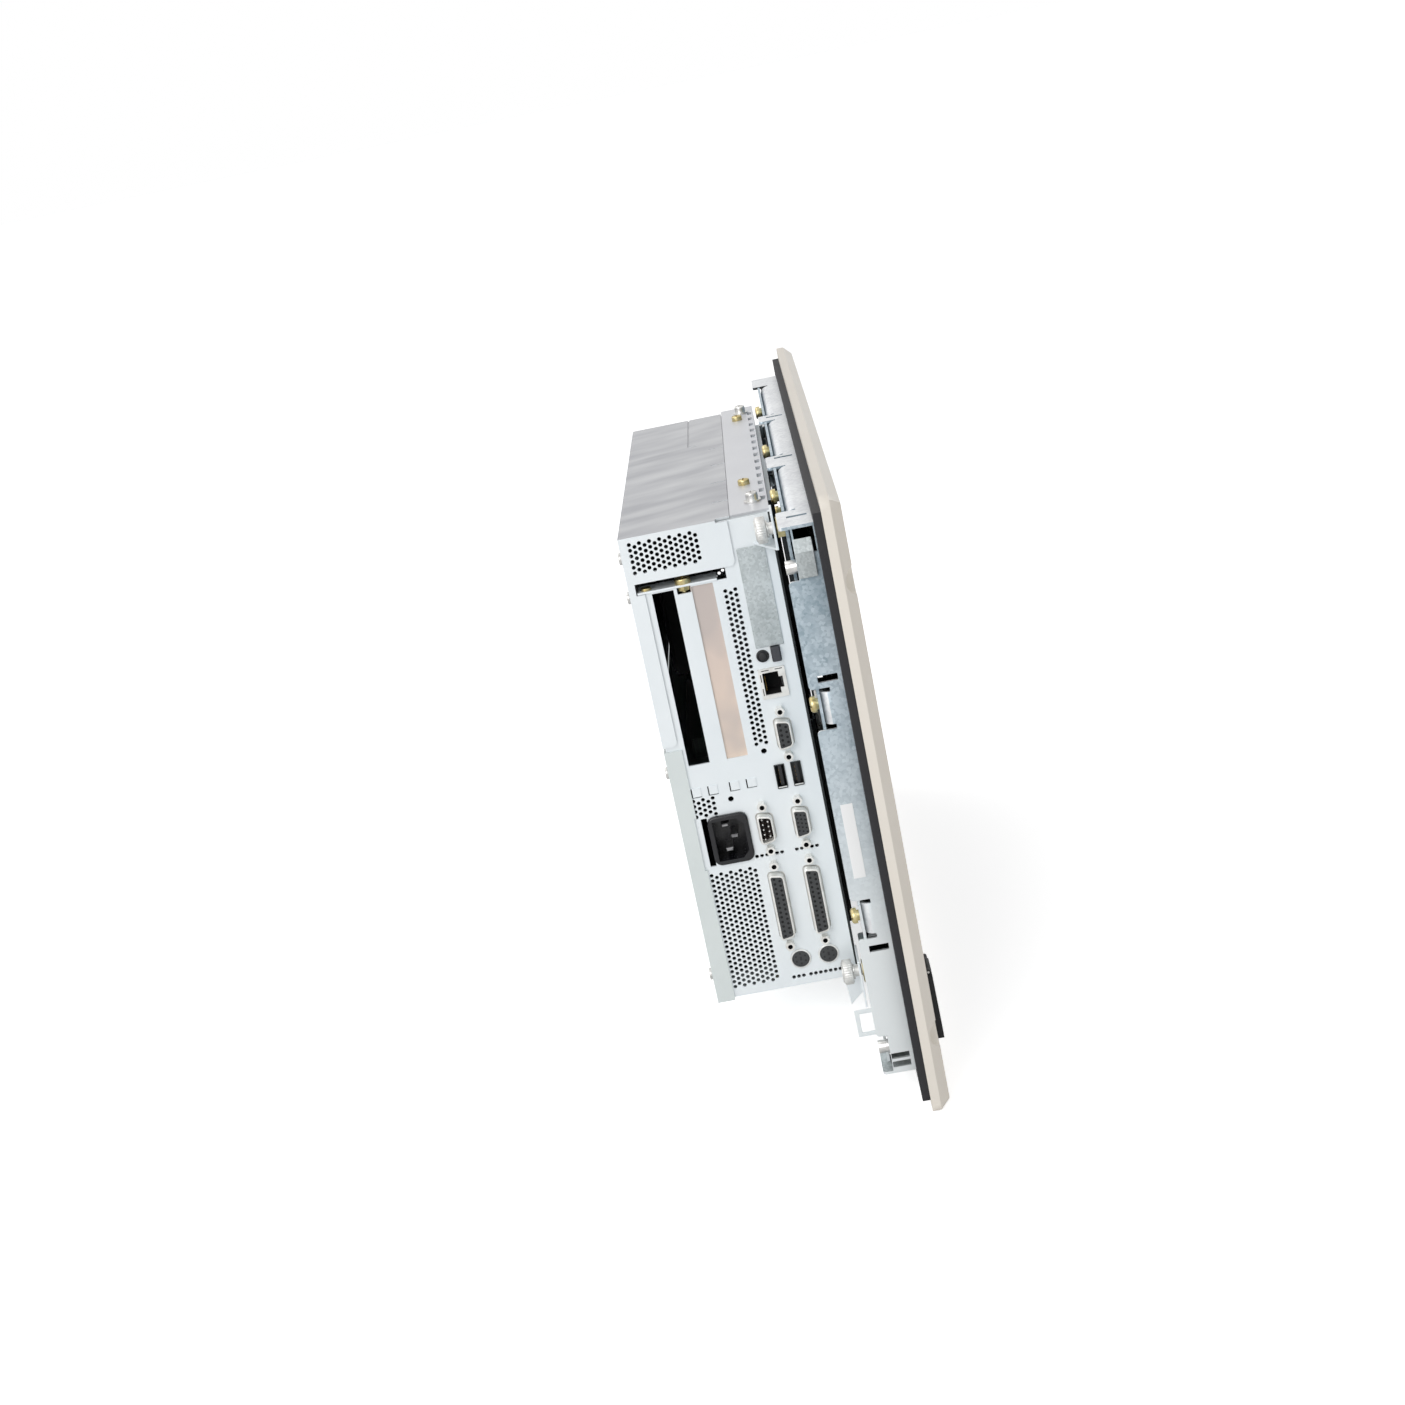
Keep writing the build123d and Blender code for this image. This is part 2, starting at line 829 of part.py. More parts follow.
def mounting_frame():
    """Folded tub: front lip, four walls, notches with folded tabs, and clamp slots."""
    outer = block(frame_left, frame_right, 0, frame_depth, frame_low, frame_high)
    inner = block(frame_left + frame_sheet, frame_right - frame_sheet, frame_sheet, frame_depth + overrun,
                  frame_low + frame_sheet, frame_high - frame_sheet)
    window = block(frame_left + frame_lip, frame_right - frame_lip, -overrun, frame_depth,
                   frame_low + frame_lip, frame_high - frame_lip)
    cuts = [inner, window]
    tabs = []
    tab_front = tab_rear_y - frame_sheet
    for side, low, high in ear_spans():
        cuts.append(wall_box(side, low, high, ear_bend_radius, overrun, tab_rear_y - ear_bend_radius,
                             frame_depth + overrun))
        for end, step in ((low, -ear_notch_width), (high, ear_notch_width)):
            cuts.append(wall_box(side, min(end, end + step), max(end, end + step), frame_sheet + overrun,
                                 overrun, tab_rear_y - ear_notch_depth, frame_depth + overrun))
        tabs.append(wall_box(side, low, high, tab_reach, -ear_bend_radius, tab_front, tab_rear_y))
        tabs.append(ear_bend(side, low, high))
    slot_front, slot_rear = clamp_slot_y - clamp_slot_length / 2, clamp_slot_y + clamp_slot_length / 2
    slots = [(side, z) for side in ("left", "right") for z in clamp_slot_zs]
    slots += [(side, share * frame_width) for side in ("low", "high") for share in clamp_slot_shares]
    for side, middle in slots:
        cuts.append(wall_box(side, middle - clamp_slot_width / 2, middle + clamp_slot_width / 2,
                             frame_sheet + overrun, overrun, slot_front, slot_rear))
    for side in ("left", "right"):
        cuts.append(wall_box(side, corner_recess_low, frame_high - frame_sheet,
                             frame_sheet + overrun, overrun,
                             corner_recess_y, corner_recess_y + corner_recess_depth))
        for index in range(2):
            z = -lug_slot_z - lug_slot_width / 2 - index * lug_slot_pitch
            cuts.append(wall_box(side, z - lug_slot_width / 2, z + lug_slot_width / 2, frame_sheet + overrun,
                                 overrun, lug_slot_y, lug_slot_y + lug_slot_depth))
        for low, high in ((side_low_zs[1], frame_high - frame_sheet),
                          (frame_low + frame_sheet, side_low_zs[0])):
            cuts.append(wall_box(side, low, high, frame_sheet + overrun, overrun, side_low_y,
                                 frame_depth + overrun))
    ends = [x for side, low, high in ear_spans() if side == "low" for x in (low, high)]
    for low, high in ((frame_left + corner_tab_length, min(ends)),
                      (max(ends), frame_right - corner_tab_length)):
        cuts.append(wall_box("low", low, high, frame_sheet + overrun, overrun, tab_rear_y,
                             frame_depth + overrun))
    holes = ear_screw_holes(ear_screw_shank_radius + pin_gap)
    frame = outer - cuts + tabs - holes
    rims = [edge for axis in (Axis.X, Axis.Z) for edge in frame.edges().filter_by(axis)
            if edge.length < frame_sheet + running_gap and abs(edge.center().Y - frame_depth) < running_gap]
    return fillet(rims, side_corner_radius)


def back_plate():
    """Plate that closes the tub, with ears in the notches, cut corners, a cable port and vent slots."""
    inset = frame_sheet + running_gap
    plate = block(frame_left + inset, frame_right - inset, tab_rear_y, plate_rear,
                  frame_low + inset, frame_high - inset)
    ears = [wall_box(side, low + running_gap, high - running_gap, tab_reach, 0, tab_rear_y, plate_rear)
            for side, low, high in ear_spans()]
    cuts = [block(plate_hole_x - plate_hole_width / 2, plate_hole_x + plate_hole_width / 2, 0, unit_front,
                  plate_hole_z - plate_hole_height / 2, plate_hole_z + plate_hole_height / 2)]
    for index in range(plate_vent_count):
        x = (index - (plate_vent_count - 1) / 2) * plate_vent_pitch
        cuts.append(block(x - plate_vent_width / 2, x + plate_vent_width / 2, 0, unit_front,
                          plate_vent_z - plate_vent_length / 2, plate_vent_z + plate_vent_length / 2))
    for side in ("left", "right"):
        for low, high in ((frame_low, side_low_zs[0]), (side_low_zs[1], frame_high)):
            cuts.append(wall_box(side, low, high, plate_corner_cut, 0, 0, unit_front))
    return plate + ears - cuts - ear_screw_holes(ear_screw_shank_radius + pin_gap)


def ear_screw_places():
    """One screw in each ear, as X and Z."""
    xs = (frame_left + ear_screw_inset, frame_right - ear_screw_inset)
    sides = [(x, z) for x in xs for z in ear_screw_zs]
    ends = [(share * frame_width, z) for share in ear_screw_shares
            for z in (frame_low + ear_screw_inset, frame_high - ear_screw_inset)]
    return sides + ends


def ear_screw_holes(radius):
    """Bars on the ear screws' axes, through the ears and the tabs."""
    start = tab_rear_y - frame_sheet - overrun
    return [rod_y(radius, start, plate_rear + overrun, x, z) for x, z in ear_screw_places()]


def back_plate_screws():
    """Pan heads on spring collars that hold the back plate's ears."""
    heads = []
    seat = plate_rear + ear_screw_collar_height
    crown = seat + ear_screw_height
    for x, z in ear_screw_places():
        collar = rod_y(ear_screw_collar_radius, plate_rear, seat, x, z)
        head = rod_y(ear_screw_radius, seat, crown, x, z)
        head = fillet(head.faces().sort_by(Axis.Y)[-1].edges(), ear_screw_height / 2)
        slot = block(x - ear_screw_radius, x + ear_screw_radius, crown - screw_recess_depth, crown + overrun,
                     z - screw_recess_width / 2, z + screw_recess_width / 2)
        shank = rod_y(ear_screw_shank_radius, plate_rear - ear_screw_shank_length, plate_rear, x, z)
        heads.append(collar + head + shank - slot)
    return heads


def clip_profile(offset):
    """Outline of the folded clip in X and Z, moved inwards by an offset."""
    outer = frame_left - clip_reach + offset
    low = clip_z - clip_height / 2 + offset
    high = clip_z + clip_height / 2 - offset
    points = [(frame_left, low), (outer + offset / 2, low), (outer, low + clip_reach / 2),
              (outer, high - clip_slope), (frame_left, high)]
    return make_face(Polyline(*points, close=True).edges())


def corner_clip():
    """Folded clip on the port-side wall, below its corner recess."""
    rear = clip_y + clip_width / 2
    shell = Pos(0, rear, 0) * extrude(Plane.XZ * clip_profile(0), clip_width)
    hollow = Pos(0, rear + overrun, 0) * extrude(Plane.XZ * clip_profile(sheet), clip_width + 2 * overrun)
    return shell - hollow


def corner_studs():
    """Studs that stand on the frame's lip behind the low parts of the wall."""
    x = frame_left + stud_radius + frame_sheet + 2 * running_gap
    return [rod_y(stud_radius, frame_sheet, frame_depth, x, z) for z in stud_zs]


def label_plate():
    """Blank label on the port-side wall."""
    return block(frame_left - label_thickness, frame_left,
                 label_y - label_width / 2, label_y + label_width / 2,
                 label_z - label_length / 2, label_z + label_length / 2)


def cable_lug():
    """Bent lug on the back plate for tying cables, with an open middle."""
    x0, x1 = lug_x - lug_length / 2, lug_x + lug_length / 2
    foot = block(x0, x1, plate_rear, plate_rear + sheet, lug_z - lug_height / 2, lug_z + lug_height / 2)
    wall = block(x0, x0 + sheet, plate_rear, plate_rear + lug_reach + sheet,
                 lug_z - lug_height / 2, lug_z + lug_height / 2)
    half = lug_height * lug_window_share / 2
    window = block(x0 - overrun, x0 + sheet + overrun, plate_rear + 2 * sheet, plate_rear + lug_reach - sheet,
                   lug_z - half, lug_z + half)
    return foot + wall - window


def latch_nuts():
    """Hexagon nuts on the back plate, one in line with each thumbscrew."""
    nuts = []
    for z in (latch_upper_z, latch_lower_z):
        hexagon = Plane.XZ * RegularPolygon(nut_across / 2, 6, major_radius=False)
        body = Pos(latch_x, nut_rear, z) * extrude(hexagon, nut_height)
        nuts.append(body - rod_y(thumb_shank_radius + pin_gap, plate_rear - overrun, nut_rear + overrun,
                                 latch_x, z))
    return nuts


# Hinges

def hinge_bands(centre):
    """Heights of the five knuckles of one hinge, from the bottom up."""
    step = hinge_length / 5
    return [(centre - hinge_length / 2 + index * step, centre - hinge_length / 2 + (index + 1) * step)
            for index in range(5)]


def hinge_bore(centre):
    return rod_z(hinge_pin_radius + pin_gap, centre - hinge_length, centre + hinge_length, hinge_x, hinge_y)


def knuckle(low, high):
    return rod_z(hinge_knuckle_radius, low + running_gap / 2, high - running_gap / 2, hinge_x, hinge_y)


def frame_hinge(centre):
    """Fixed leaf on the back plate, with the outer and middle knuckles."""
    leaf = block(hinge_x, hinge_x + hinge_leaf_width, plate_rear, plate_rear + hinge_leaf,
                 centre - hinge_length / 2 + running_gap / 2, centre + hinge_length / 2 - running_gap / 2)
    clear = []
    solid = leaf
    for index, (low, high) in enumerate(hinge_bands(centre)):
        if index % 2 == 0:
            solid = solid + knuckle(low, high)
        else:
            clear.append(block(hinge_x - hinge_knuckle_radius, hinge_x + hinge_knuckle_radius + running_gap,
                               plate_rear - overrun, hinge_y + hinge_knuckle_radius,
                               low - running_gap / 2, high + running_gap / 2))
    return solid - clear - hinge_bore(centre)


def unit_hinge(centre):
    """Moving leaf on the front wall of the chassis, with the two inner knuckles."""
    leaf_front = unit_front - hinge_leaf
    leaf = block(hinge_x - hinge_leaf_width, hinge_x, leaf_front, unit_front,
                 centre - hinge_length / 2 + running_gap / 2, centre + hinge_length / 2 - running_gap / 2)
    clear = []
    solid = leaf
    for index, (low, high) in enumerate(hinge_bands(centre)):
        if index % 2 == 1:
            solid = solid + knuckle(low, high)
        else:
            clear.append(block(hinge_x - hinge_knuckle_radius - running_gap, hinge_x + hinge_knuckle_radius,
                               leaf_front - overrun, hinge_y + hinge_knuckle_radius + overrun,
                               low - running_gap / 2, high + running_gap / 2))
    return solid - clear - hinge_bore(centre)


def hinge_pins():
    pins = []
    for centre in (hinge_lower_z, hinge_upper_z):
        top = centre + hinge_length / 2
        pin = rod_z(hinge_pin_radius, centre - hinge_length / 2, top, hinge_x, hinge_y)
        pins.append(pin + rod_z(hinge_head_radius, top, top + hinge_head_height, hinge_x, hinge_y))
    return pins


# Chassis and covers of the computing unit

def louvre_xs():
    """Middles of the louvres along the top channel."""
    middle = (channel_left + channel_right) / 2
    return [middle + (index - (louvre_count - 1) / 2) * louvre_pitch for index in range(louvre_count)]


def cover_slit_xs():
    """Middles of the slits at the front edge of the upper cover."""
    return [cover_slit_x - index * cover_slit_pitch for index in range(cover_slit_count)]


def chassis_tub():
    """Bottom, front and far walls and the top flange, with standoffs and a fan grille."""
    walls = [
        block(port_inner, unit_right, unit_front, unit_rear, unit_bottom, unit_bottom + sheet),
        block(unit_right - sheet, unit_right, unit_front, unit_rear, unit_bottom, unit_top),
        block(port_inner + chassis_flange_gap, unit_right, unit_front, chassis_flange_y,
              unit_top - sheet, unit_top),
    ]
    dish_front = unit_front - dish_depth
    dish = block(dish_left, dish_right, dish_front, front_wall_rear, dish_low, dish_high)
    hollow = block(dish_left + sheet, dish_right - sheet, dish_front + sheet, front_wall_rear + overrun,
                   dish_low + sheet, dish_high - sheet)
    front = block(port_inner, unit_right, unit_front, front_wall_rear, unit_bottom, unit_top)
    tub = front + dish - hollow + walls
    port = block(front_port_x - front_port_width / 2, front_port_x + front_port_width / 2,
                 dish_front - overrun, front_wall_rear + overrun,
                 front_port_z - front_port_height / 2, front_port_z + front_port_height / 2)
    posts = [rod_y(standoff_radius, dish_front if dish_left < x < dish_right else unit_front, board_y, x, z)
             for x, z in mother_screws()]
    grille = [rod_x(perf_radius, unit_right - sheet - overrun, unit_right + overrun, y, z)
              for y, z in hole_field(fan_y - fan_blade_radius, fan_y + fan_blade_radius,
                                     fan_z - fan_blade_radius, fan_z + fan_blade_radius)
              if math.hypot(y - fan_y, z - fan_z) < fan_blade_radius]
    low, high = unit_top - sheet - overrun, unit_top + overrun
    holes = [rod_z(screw_shank_radius + pin_gap, low, high, x, y)
             for x, y in top_screws + top_washer_screws]
    holes += [block(x - louvre_length / 2, x + louvre_length / 2, front_wall_rear,
                    louvre_y + louvre_width / 2, low, high) for x in louvre_xs()]
    half = cover_slit_width / 2 + cover_slit_margin
    holes += [block(x - half, x + half, seam_y, seam_y + cover_slit_length, low, high)
              for x in cover_slit_xs()]
    holes += [rod_z(screw_shank_radius + pin_gap, unit_bottom - overrun, unit_bottom + sheet + overrun, x, y)
              for x, y in bottom_screw_places()]
    return tub + posts - port - grille[::2] - holes


def bottom_screw_places():
    return [(port_inner + bottom_screw_inset, y) for y in bottom_screw_ys]


def mother_screws():
    """Standoff places under the main board."""
    xs = (mother_left + mother_inset, (mother_left + mother_right) / 2, mother_right - mother_inset)
    zs = (mother_low + mother_inset, (mother_low + mother_high) / 2, mother_high - mother_inset)
    return [(x, z) for x in xs for z in zs if not (x == xs[1] and z == zs[1])]


def shell_outline(length, width, radius):
    """Trapezoid with rounded corners, its long side towards +Y, drawn in Y and Z."""
    slant = width * shell_slant_share
    points = [(-width / 2, -length / 2 + slant), (-width / 2, length / 2 - slant),
              (width / 2, length / 2), (width / 2, -length / 2)]
    face = make_face(Polyline(*points, close=True).edges())
    return fillet(face.vertices(), radius)


def moved_wire(sketch, y, z):
    return (Pos(y, z) * sketch).face().outer_wire()


def dsub_list():
    """Each trapezoid connector: name, column, height, shell length, jack pitch, contacts."""
    return [
        ("fieldbus_socket", column_low_y, nine_z, small_shell_length, small_jack_pitch, "nine"),
        ("serial_plug", column_high_y, upper_pair_z, small_shell_length, small_jack_pitch, "pins"),
        ("monitor_socket", column_low_y, upper_pair_z, small_shell_length, small_jack_pitch, "fifteen"),
        ("serial_socket", column_high_y, lower_pair_z, large_shell_length, large_jack_pitch, "long"),
        ("printer_socket", column_low_y, lower_pair_z, large_shell_length, large_jack_pitch, "long"),
    ]


def rail_gap_wire():
    """The gap over the card rail, notched below for the rail screw's nut."""
    near, far = rail_screw_y - rail_notch_width / 2, rail_screw_y + rail_notch_width / 2
    notch = rail_gap_low - rail_notch_depth
    points = [(rail_gap_front, rail_gap_low), (near, rail_gap_low), (near, notch), (far, notch),
              (far, rail_gap_low), (rail_gap_rear, rail_gap_low), (rail_gap_rear, rail_gap_top),
              (rail_gap_front, rail_gap_top)]
    return make_face(Polyline(*points, close=True).edges()).face().outer_wire()


def lance_wire(y):
    """The angled slit behind and below one lanced tongue."""
    half = emboss_size / 2
    low, high = emboss_z - half, emboss_z + half
    points = [(y - half, low - emboss_slit), (y + half + emboss_slit, low - emboss_slit),
              (y + half + emboss_slit, high), (y + half, high), (y + half, low), (y - half, low)]
    return make_face(Polyline(*points, close=True).edges()).face().outer_wire()


def port_openings():
    """Wires of the openings that the connectors, buttons, slots and vents need."""
    wires = []
    for name, y, z, length, pitch, kind in dsub_list():
        hole = shell_outline(length + 2 * shell_clearance, shell_width + 2 * shell_clearance,
                             shell_corner_radius)
        wires.append(moved_wire(hole, y, z))
        for end in (-pitch / 2, pitch / 2):
            wires.append(round_wire(y, z + end, jack_shank_radius + jack_shank_gap))
    for y in (blank_slot_y, open_slot_y):
        wires.append(box_wire(y - slot_width / 2, y + slot_width / 2, slot_low_z, slot_high_z))
    wires.append(rail_gap_wire())
    for y in usb_ys:
        wires.append(middle_wire(y, usb_z, usb_width, usb_height, pin_gap))
    wires.append(middle_wire(net_y, net_z, net_width, net_height, pin_gap))
    wires.append(round_wire(reset_y, reset_z, reset_radius + running_gap))
    wires.append(middle_wire(ejector_y, ejector_z, ejector_width, ejector_height, running_gap))
    for y in din_ys:
        wires.append(round_wire(y, din_z, din_ring_radius + pin_gap))
    wires.append(middle_wire(inlet_y, inlet_z, inlet_body_width, inlet_body_height, pin_gap))
    wires.append(box_wire(*inlet_gap))
    for y, z in (port_hole_upper, port_hole_lower):
        wires.append(round_wire(y, z, port_hole_radius))
    return wires + [lance_wire(y) for y in emboss_ys]


def port_plate():
    """Side sheet of the chassis with every port, slot, vent and button opening."""
    outline = box_wire(port_front, unit_rear, unit_bottom, unit_top)
    centres = hole_field(*strip_vent) + hole_field(*patch_vent) + hole_field(*big_vent)
    centres += hole_row(upper_row_rear_y, upper_row_rear_count, upper_row_z)
    centres += hole_row(upper_row_front_y, upper_row_front_count, upper_row_z)
    centres += hole_row(lower_row_rear_y, lower_row_rear_count, lower_row_z)
    centres += hole_row(lower_row_front_y, lower_row_front_count, lower_row_z)
    plate = side_sheet(outline, port_openings() + perforations(centres), port_outer, port_inner)
    vent = block(port_outer - overrun, port_inner + overrun, upper_vent[0], upper_vent[1],
                 upper_vent[2], upper_vent[3])
    bosses = []
    for y in emboss_ys:
        half = emboss_size / 2
        bosses.append(block(port_outer - emboss_depth, port_outer + emboss_depth / 2, y - half, y + half,
                            emboss_z - half, emboss_z + half))
    return plate - vent + bosses


def top_channel():
    """Sheet strip over the front of the chassis, with a fold at the far side and louvres."""
    strip = block(channel_left, channel_right, unit_front, seam_y - running_gap, unit_top, cover_top)
    fold = block(channel_right - sheet, channel_right, unit_front, seam_y - running_gap,
                 unit_top - channel_drop, cover_top)
    foot = block(unit_right, channel_right, unit_front, front_wall_rear, unit_top - channel_drop, cover_top)
    cuts = [block(x - louvre_length / 2, x + louvre_length / 2, louvre_y - louvre_width / 2,
                  louvre_y + louvre_width / 2, unit_top - overrun, cover_top + overrun) for x in louvre_xs()]
    cuts += [rod_z(screw_shank_radius + pin_gap, unit_top - overrun, cover_top + overrun, x, y)
             for x, y in top_screws + top_washer_screws]
    return strip + [fold, foot] - cuts


def rear_screw_places(low, high):
    """Screws of the rear covers between two heights, as X and Z."""
    xs = (cover_outer + rear_screw_inset, cover_right - rear_screw_inset)
    return [(x, z) for x in xs for z in rear_screw_zs if low < z < high]


def rear_screw_holes(low, high):
    return [rod_y(screw_shank_radius + pin_gap, unit_rear - overrun, cover_rear + overrun, x, z)
            for x, z in rear_screw_places(low, high)]


def rear_cover():
    """Upper cover: top, rear sheet, side flap with its vent, and narrow side lips."""
    low = cover_split_z + cover_split_gap / 2
    top = block(cover_outer, cover_right, seam_y, cover_rear, unit_top, cover_top)
    rear = block(cover_outer, cover_right, unit_rear, cover_rear, low, cover_top)
    lip = block(unit_right, cover_right, unit_rear - lip_width, cover_rear, low, cover_top)
    outline = Polyline((flap_front_y, cover_top), (cover_rear, cover_top), (cover_rear, low),
                       (unit_rear - lip_width + sheet, low), (unit_rear - lip_width + sheet, flap_bottom_z),
                       (flap_front_y, flap_bottom_z), close=True)
    face = make_face(outline.edges())
    corner = face.vertices().sort_by_distance((flap_front_y, flap_bottom_z, 0))[0]
    foot = face.vertices().sort_by_distance((unit_rear - lip_width + sheet, low, 0))[0]
    face = fillet([corner, foot], flap_corner_radius)
    flap = side_sheet(face.face().outer_wire(), perforations(hole_field(*upper_vent)), cover_outer, unit_left)
    cuts = [block(x - cover_slit_width / 2, x + cover_slit_width / 2, seam_y - overrun,
                  seam_y + cover_slit_length, unit_top - overrun, cover_top + overrun)
            for x in cover_slit_xs()]
    cuts.append(block(cover_outer - overrun, cover_outer + cover_relief_width, seam_y - overrun,
                      seam_y + cover_relief_length, unit_top, cover_top + overrun))
    cuts.append(block(cover_outer - overrun, unit_left, unit_rear - lip_width, rail_gap_rear,
                      rail_gap_low, flap_bottom_z))
    cuts.append(block(bead_x, cover_right + overrun, bead_y, bead_y + bead_width,
                      cover_top - bead_depth, cover_top + overrun))
    cuts.append(block(bead_x, bead_x + bead_width, bead_y - bead_jog, bead_y + bead_width,
                      cover_top - bead_depth, cover_top + overrun))
    return top + [rear, lip, flap] - cuts - rear_screw_holes(low, cover_top)


def lower_cover():
    """Lower cover: rear sheet, two side lips and a bottom lip, relieved beside the inlet."""
    high = cover_split_z - cover_split_gap / 2
    low = unit_bottom - sheet
    rear = block(cover_outer, cover_right, unit_rear, cover_rear, low, high)
    bottom = block(cover_outer, cover_right, unit_rear - bottom_lip_depth, cover_rear, low, unit_bottom)
    lips = [
        block(cover_outer, unit_left, unit_rear - lower_lip_width + sheet, cover_rear, low, high),
        block(unit_right, cover_right, unit_rear - lip_width, cover_rear, low, high),
    ]
    relief = block(cover_outer - overrun, unit_left, unit_rear - lower_lip_width - overrun,
                   unit_rear - lower_lip_width + 2 * sheet, inlet_relief_bottom, inlet_relief_top)
    return rear + bottom + lips - relief - rear_screw_holes(low, high)


# Card slots, rail and card cover

def slot_blank():
    """Blanking strip behind the closed card slot, folded onto the rail at its top."""
    y0 = blank_slot_y - slot_width / 2 - blank_overlap
    y1 = blank_slot_y + slot_width / 2 + blank_overlap
    strip = block(port_inner, port_inner + sheet, y0, y1, slot_low_z - blank_overlap, rail_low)
    fold = block(port_inner, port_inner + rail_reach, y0, y1, rail_low - sheet, rail_low)
    notch = rod_z(zinc_shank_radius + pin_gap, rail_low - sheet - overrun, rail_low + overrun,
                  rail_screw_x, rail_screw_y)
    return strip + fold - notch


def card_rail():
    """Strip that the card brackets are screwed to, standing out of its gap in the port plate."""
    rail = block(port_outer - rail_proud, port_inner + rail_reach, rail_front, rail_rear, rail_low, rail_top)
    return rail - rod_z(zinc_shank_radius + pin_gap, rail_low - overrun, rail_top + overrun,
                        rail_screw_x, rail_screw_y)


def rail_screws():
    """Screw through the card rail with the nut below it, and the rivet at the rail's end."""
    head = pan_head(zinc_head_radius, zinc_head_height, zinc_shank_radius, zinc_shank_length)
    nut = Pos(rail_screw_x, rail_screw_y, rail_low - zinc_nut_height) * extrude(
        RegularPolygon(zinc_nut_across / 2, 6, major_radius=False), zinc_nut_height)
    nut = nut - rod_z(zinc_shank_radius + pin_gap, rail_low - zinc_nut_height - overrun, rail_low + overrun,
                      rail_screw_x, rail_screw_y)
    rivet = rod_z(rail_rivet_radius, rail_top, rail_top + rail_rivet_height, rail_screw_x, rail_rivet_y)
    rivet = fillet(rivet.faces().sort_by(Axis.Z)[-1].edges(), rail_rivet_height / 2)
    return [Pos(rail_screw_x, rail_screw_y, rail_top) * head, nut, rivet]


def card_cover():
    """Bare sheet over the card bay, fixed on the outside of the port plate."""
    return block(port_outer - card_cover_thickness, port_outer, card_cover_front, card_cover_rear,
                 card_cover_low, card_cover_high)


# Buttons

def reset_button():
    """Round push button in its hole in the port plate."""
    stem = rod_x(reset_radius, port_outer - reset_proud, port_inner + reset_stem, reset_y, reset_z)
    return fillet(stem.faces().sort_by(Axis.X)[0].edges(), reset_radius / 3)


def ejector_button():
    """Rectangular push button that ejects the card, on a flat stem."""
    head = block(port_outer - ejector_proud, port_inner + ejector_stem,
                 ejector_y - ejector_width / 2, ejector_y + ejector_width / 2,
                 ejector_z - ejector_height / 2, ejector_z + ejector_height / 2)
    return fillet(head.faces().sort_by(Axis.X)[0].edges(), ejector_proud / 6)


# Connectors on the port plate

def network_socket():
    """Shielded network socket with its stepped opening towards the plug."""
    front = port_outer - net_proud
    rear = port_inner + net_depth
    body = block(front, rear, net_y - net_width / 2, net_y + net_width / 2,
                 net_z - net_height / 2, net_z + net_height / 2)
    hole_y = net_y + net_latch_width / 2
    floor = front + net_opening_depth
    edge = hole_y - net_opening_width / 2
    opening = block(front - overrun, floor, edge, edge + net_opening_width,
                    net_z - net_opening_height / 2, net_z + net_opening_height / 2)
    latch = block(front - overrun, floor, edge - net_latch_width, hole_y,
                  net_z - net_latch_height / 2, net_z + net_latch_height / 2)
    foot = block(port_inner, rear, board_rear, net_y, net_z - net_height / 2, net_z + net_height / 2)
    return body + foot - [opening, latch]


def bus_sockets():
    """Two bus sockets stacked on one base that stands on the main board."""
    front = port_outer - usb_proud
    rear = port_inner + usb_depth
    low_z, high_z = usb_z - usb_height / 2, usb_z + usb_height / 2
    solid = block(port_inner + usb_wall, rear, board_rear, usb_ys[1] - usb_width / 2, low_z, high_z)
    for y in usb_ys:
        outer = block(front, rear, y - usb_width / 2, y + usb_width / 2, low_z, high_z)
        inner = block(front - overrun, rear - usb_tongue_width, y - usb_width / 2 + usb_wall,
                      y + usb_width / 2 - usb_wall, low_z + usb_wall, high_z - usb_wall)
        tongue_y = y - usb_width / 2 + usb_wall + usb_tongue_offset
        tongue = block(front + usb_wall, rear, tongue_y, tongue_y + usb_tongue_width,
                       usb_z - usb_tongue_height / 2, usb_z + usb_tongue_height / 2)
        solid = solid + outer - inner + tongue
    return solid


def contact_places(kind):
    """Contact centres across (Y) and along (Z) the connector."""
    if kind == "fifteen":
        rows = [(row, 5, vga_pitch, (row - 1) * vga_row_pitch) for row in range(3)]
        return [(y, (i - (n - 1) / 2) * pitch + (row - 1) * pitch / 4)
                for row, n, pitch, y in rows for i in range(n)]
    counts = (13, 12) if kind == "long" else (5, 4)
    places = []
    for count, y in zip(counts, (contact_row_pitch / 2, -contact_row_pitch / 2)):
        places += [(y, (i - (count - 1) / 2) * contact_pitch) for i in range(count)]
    return places


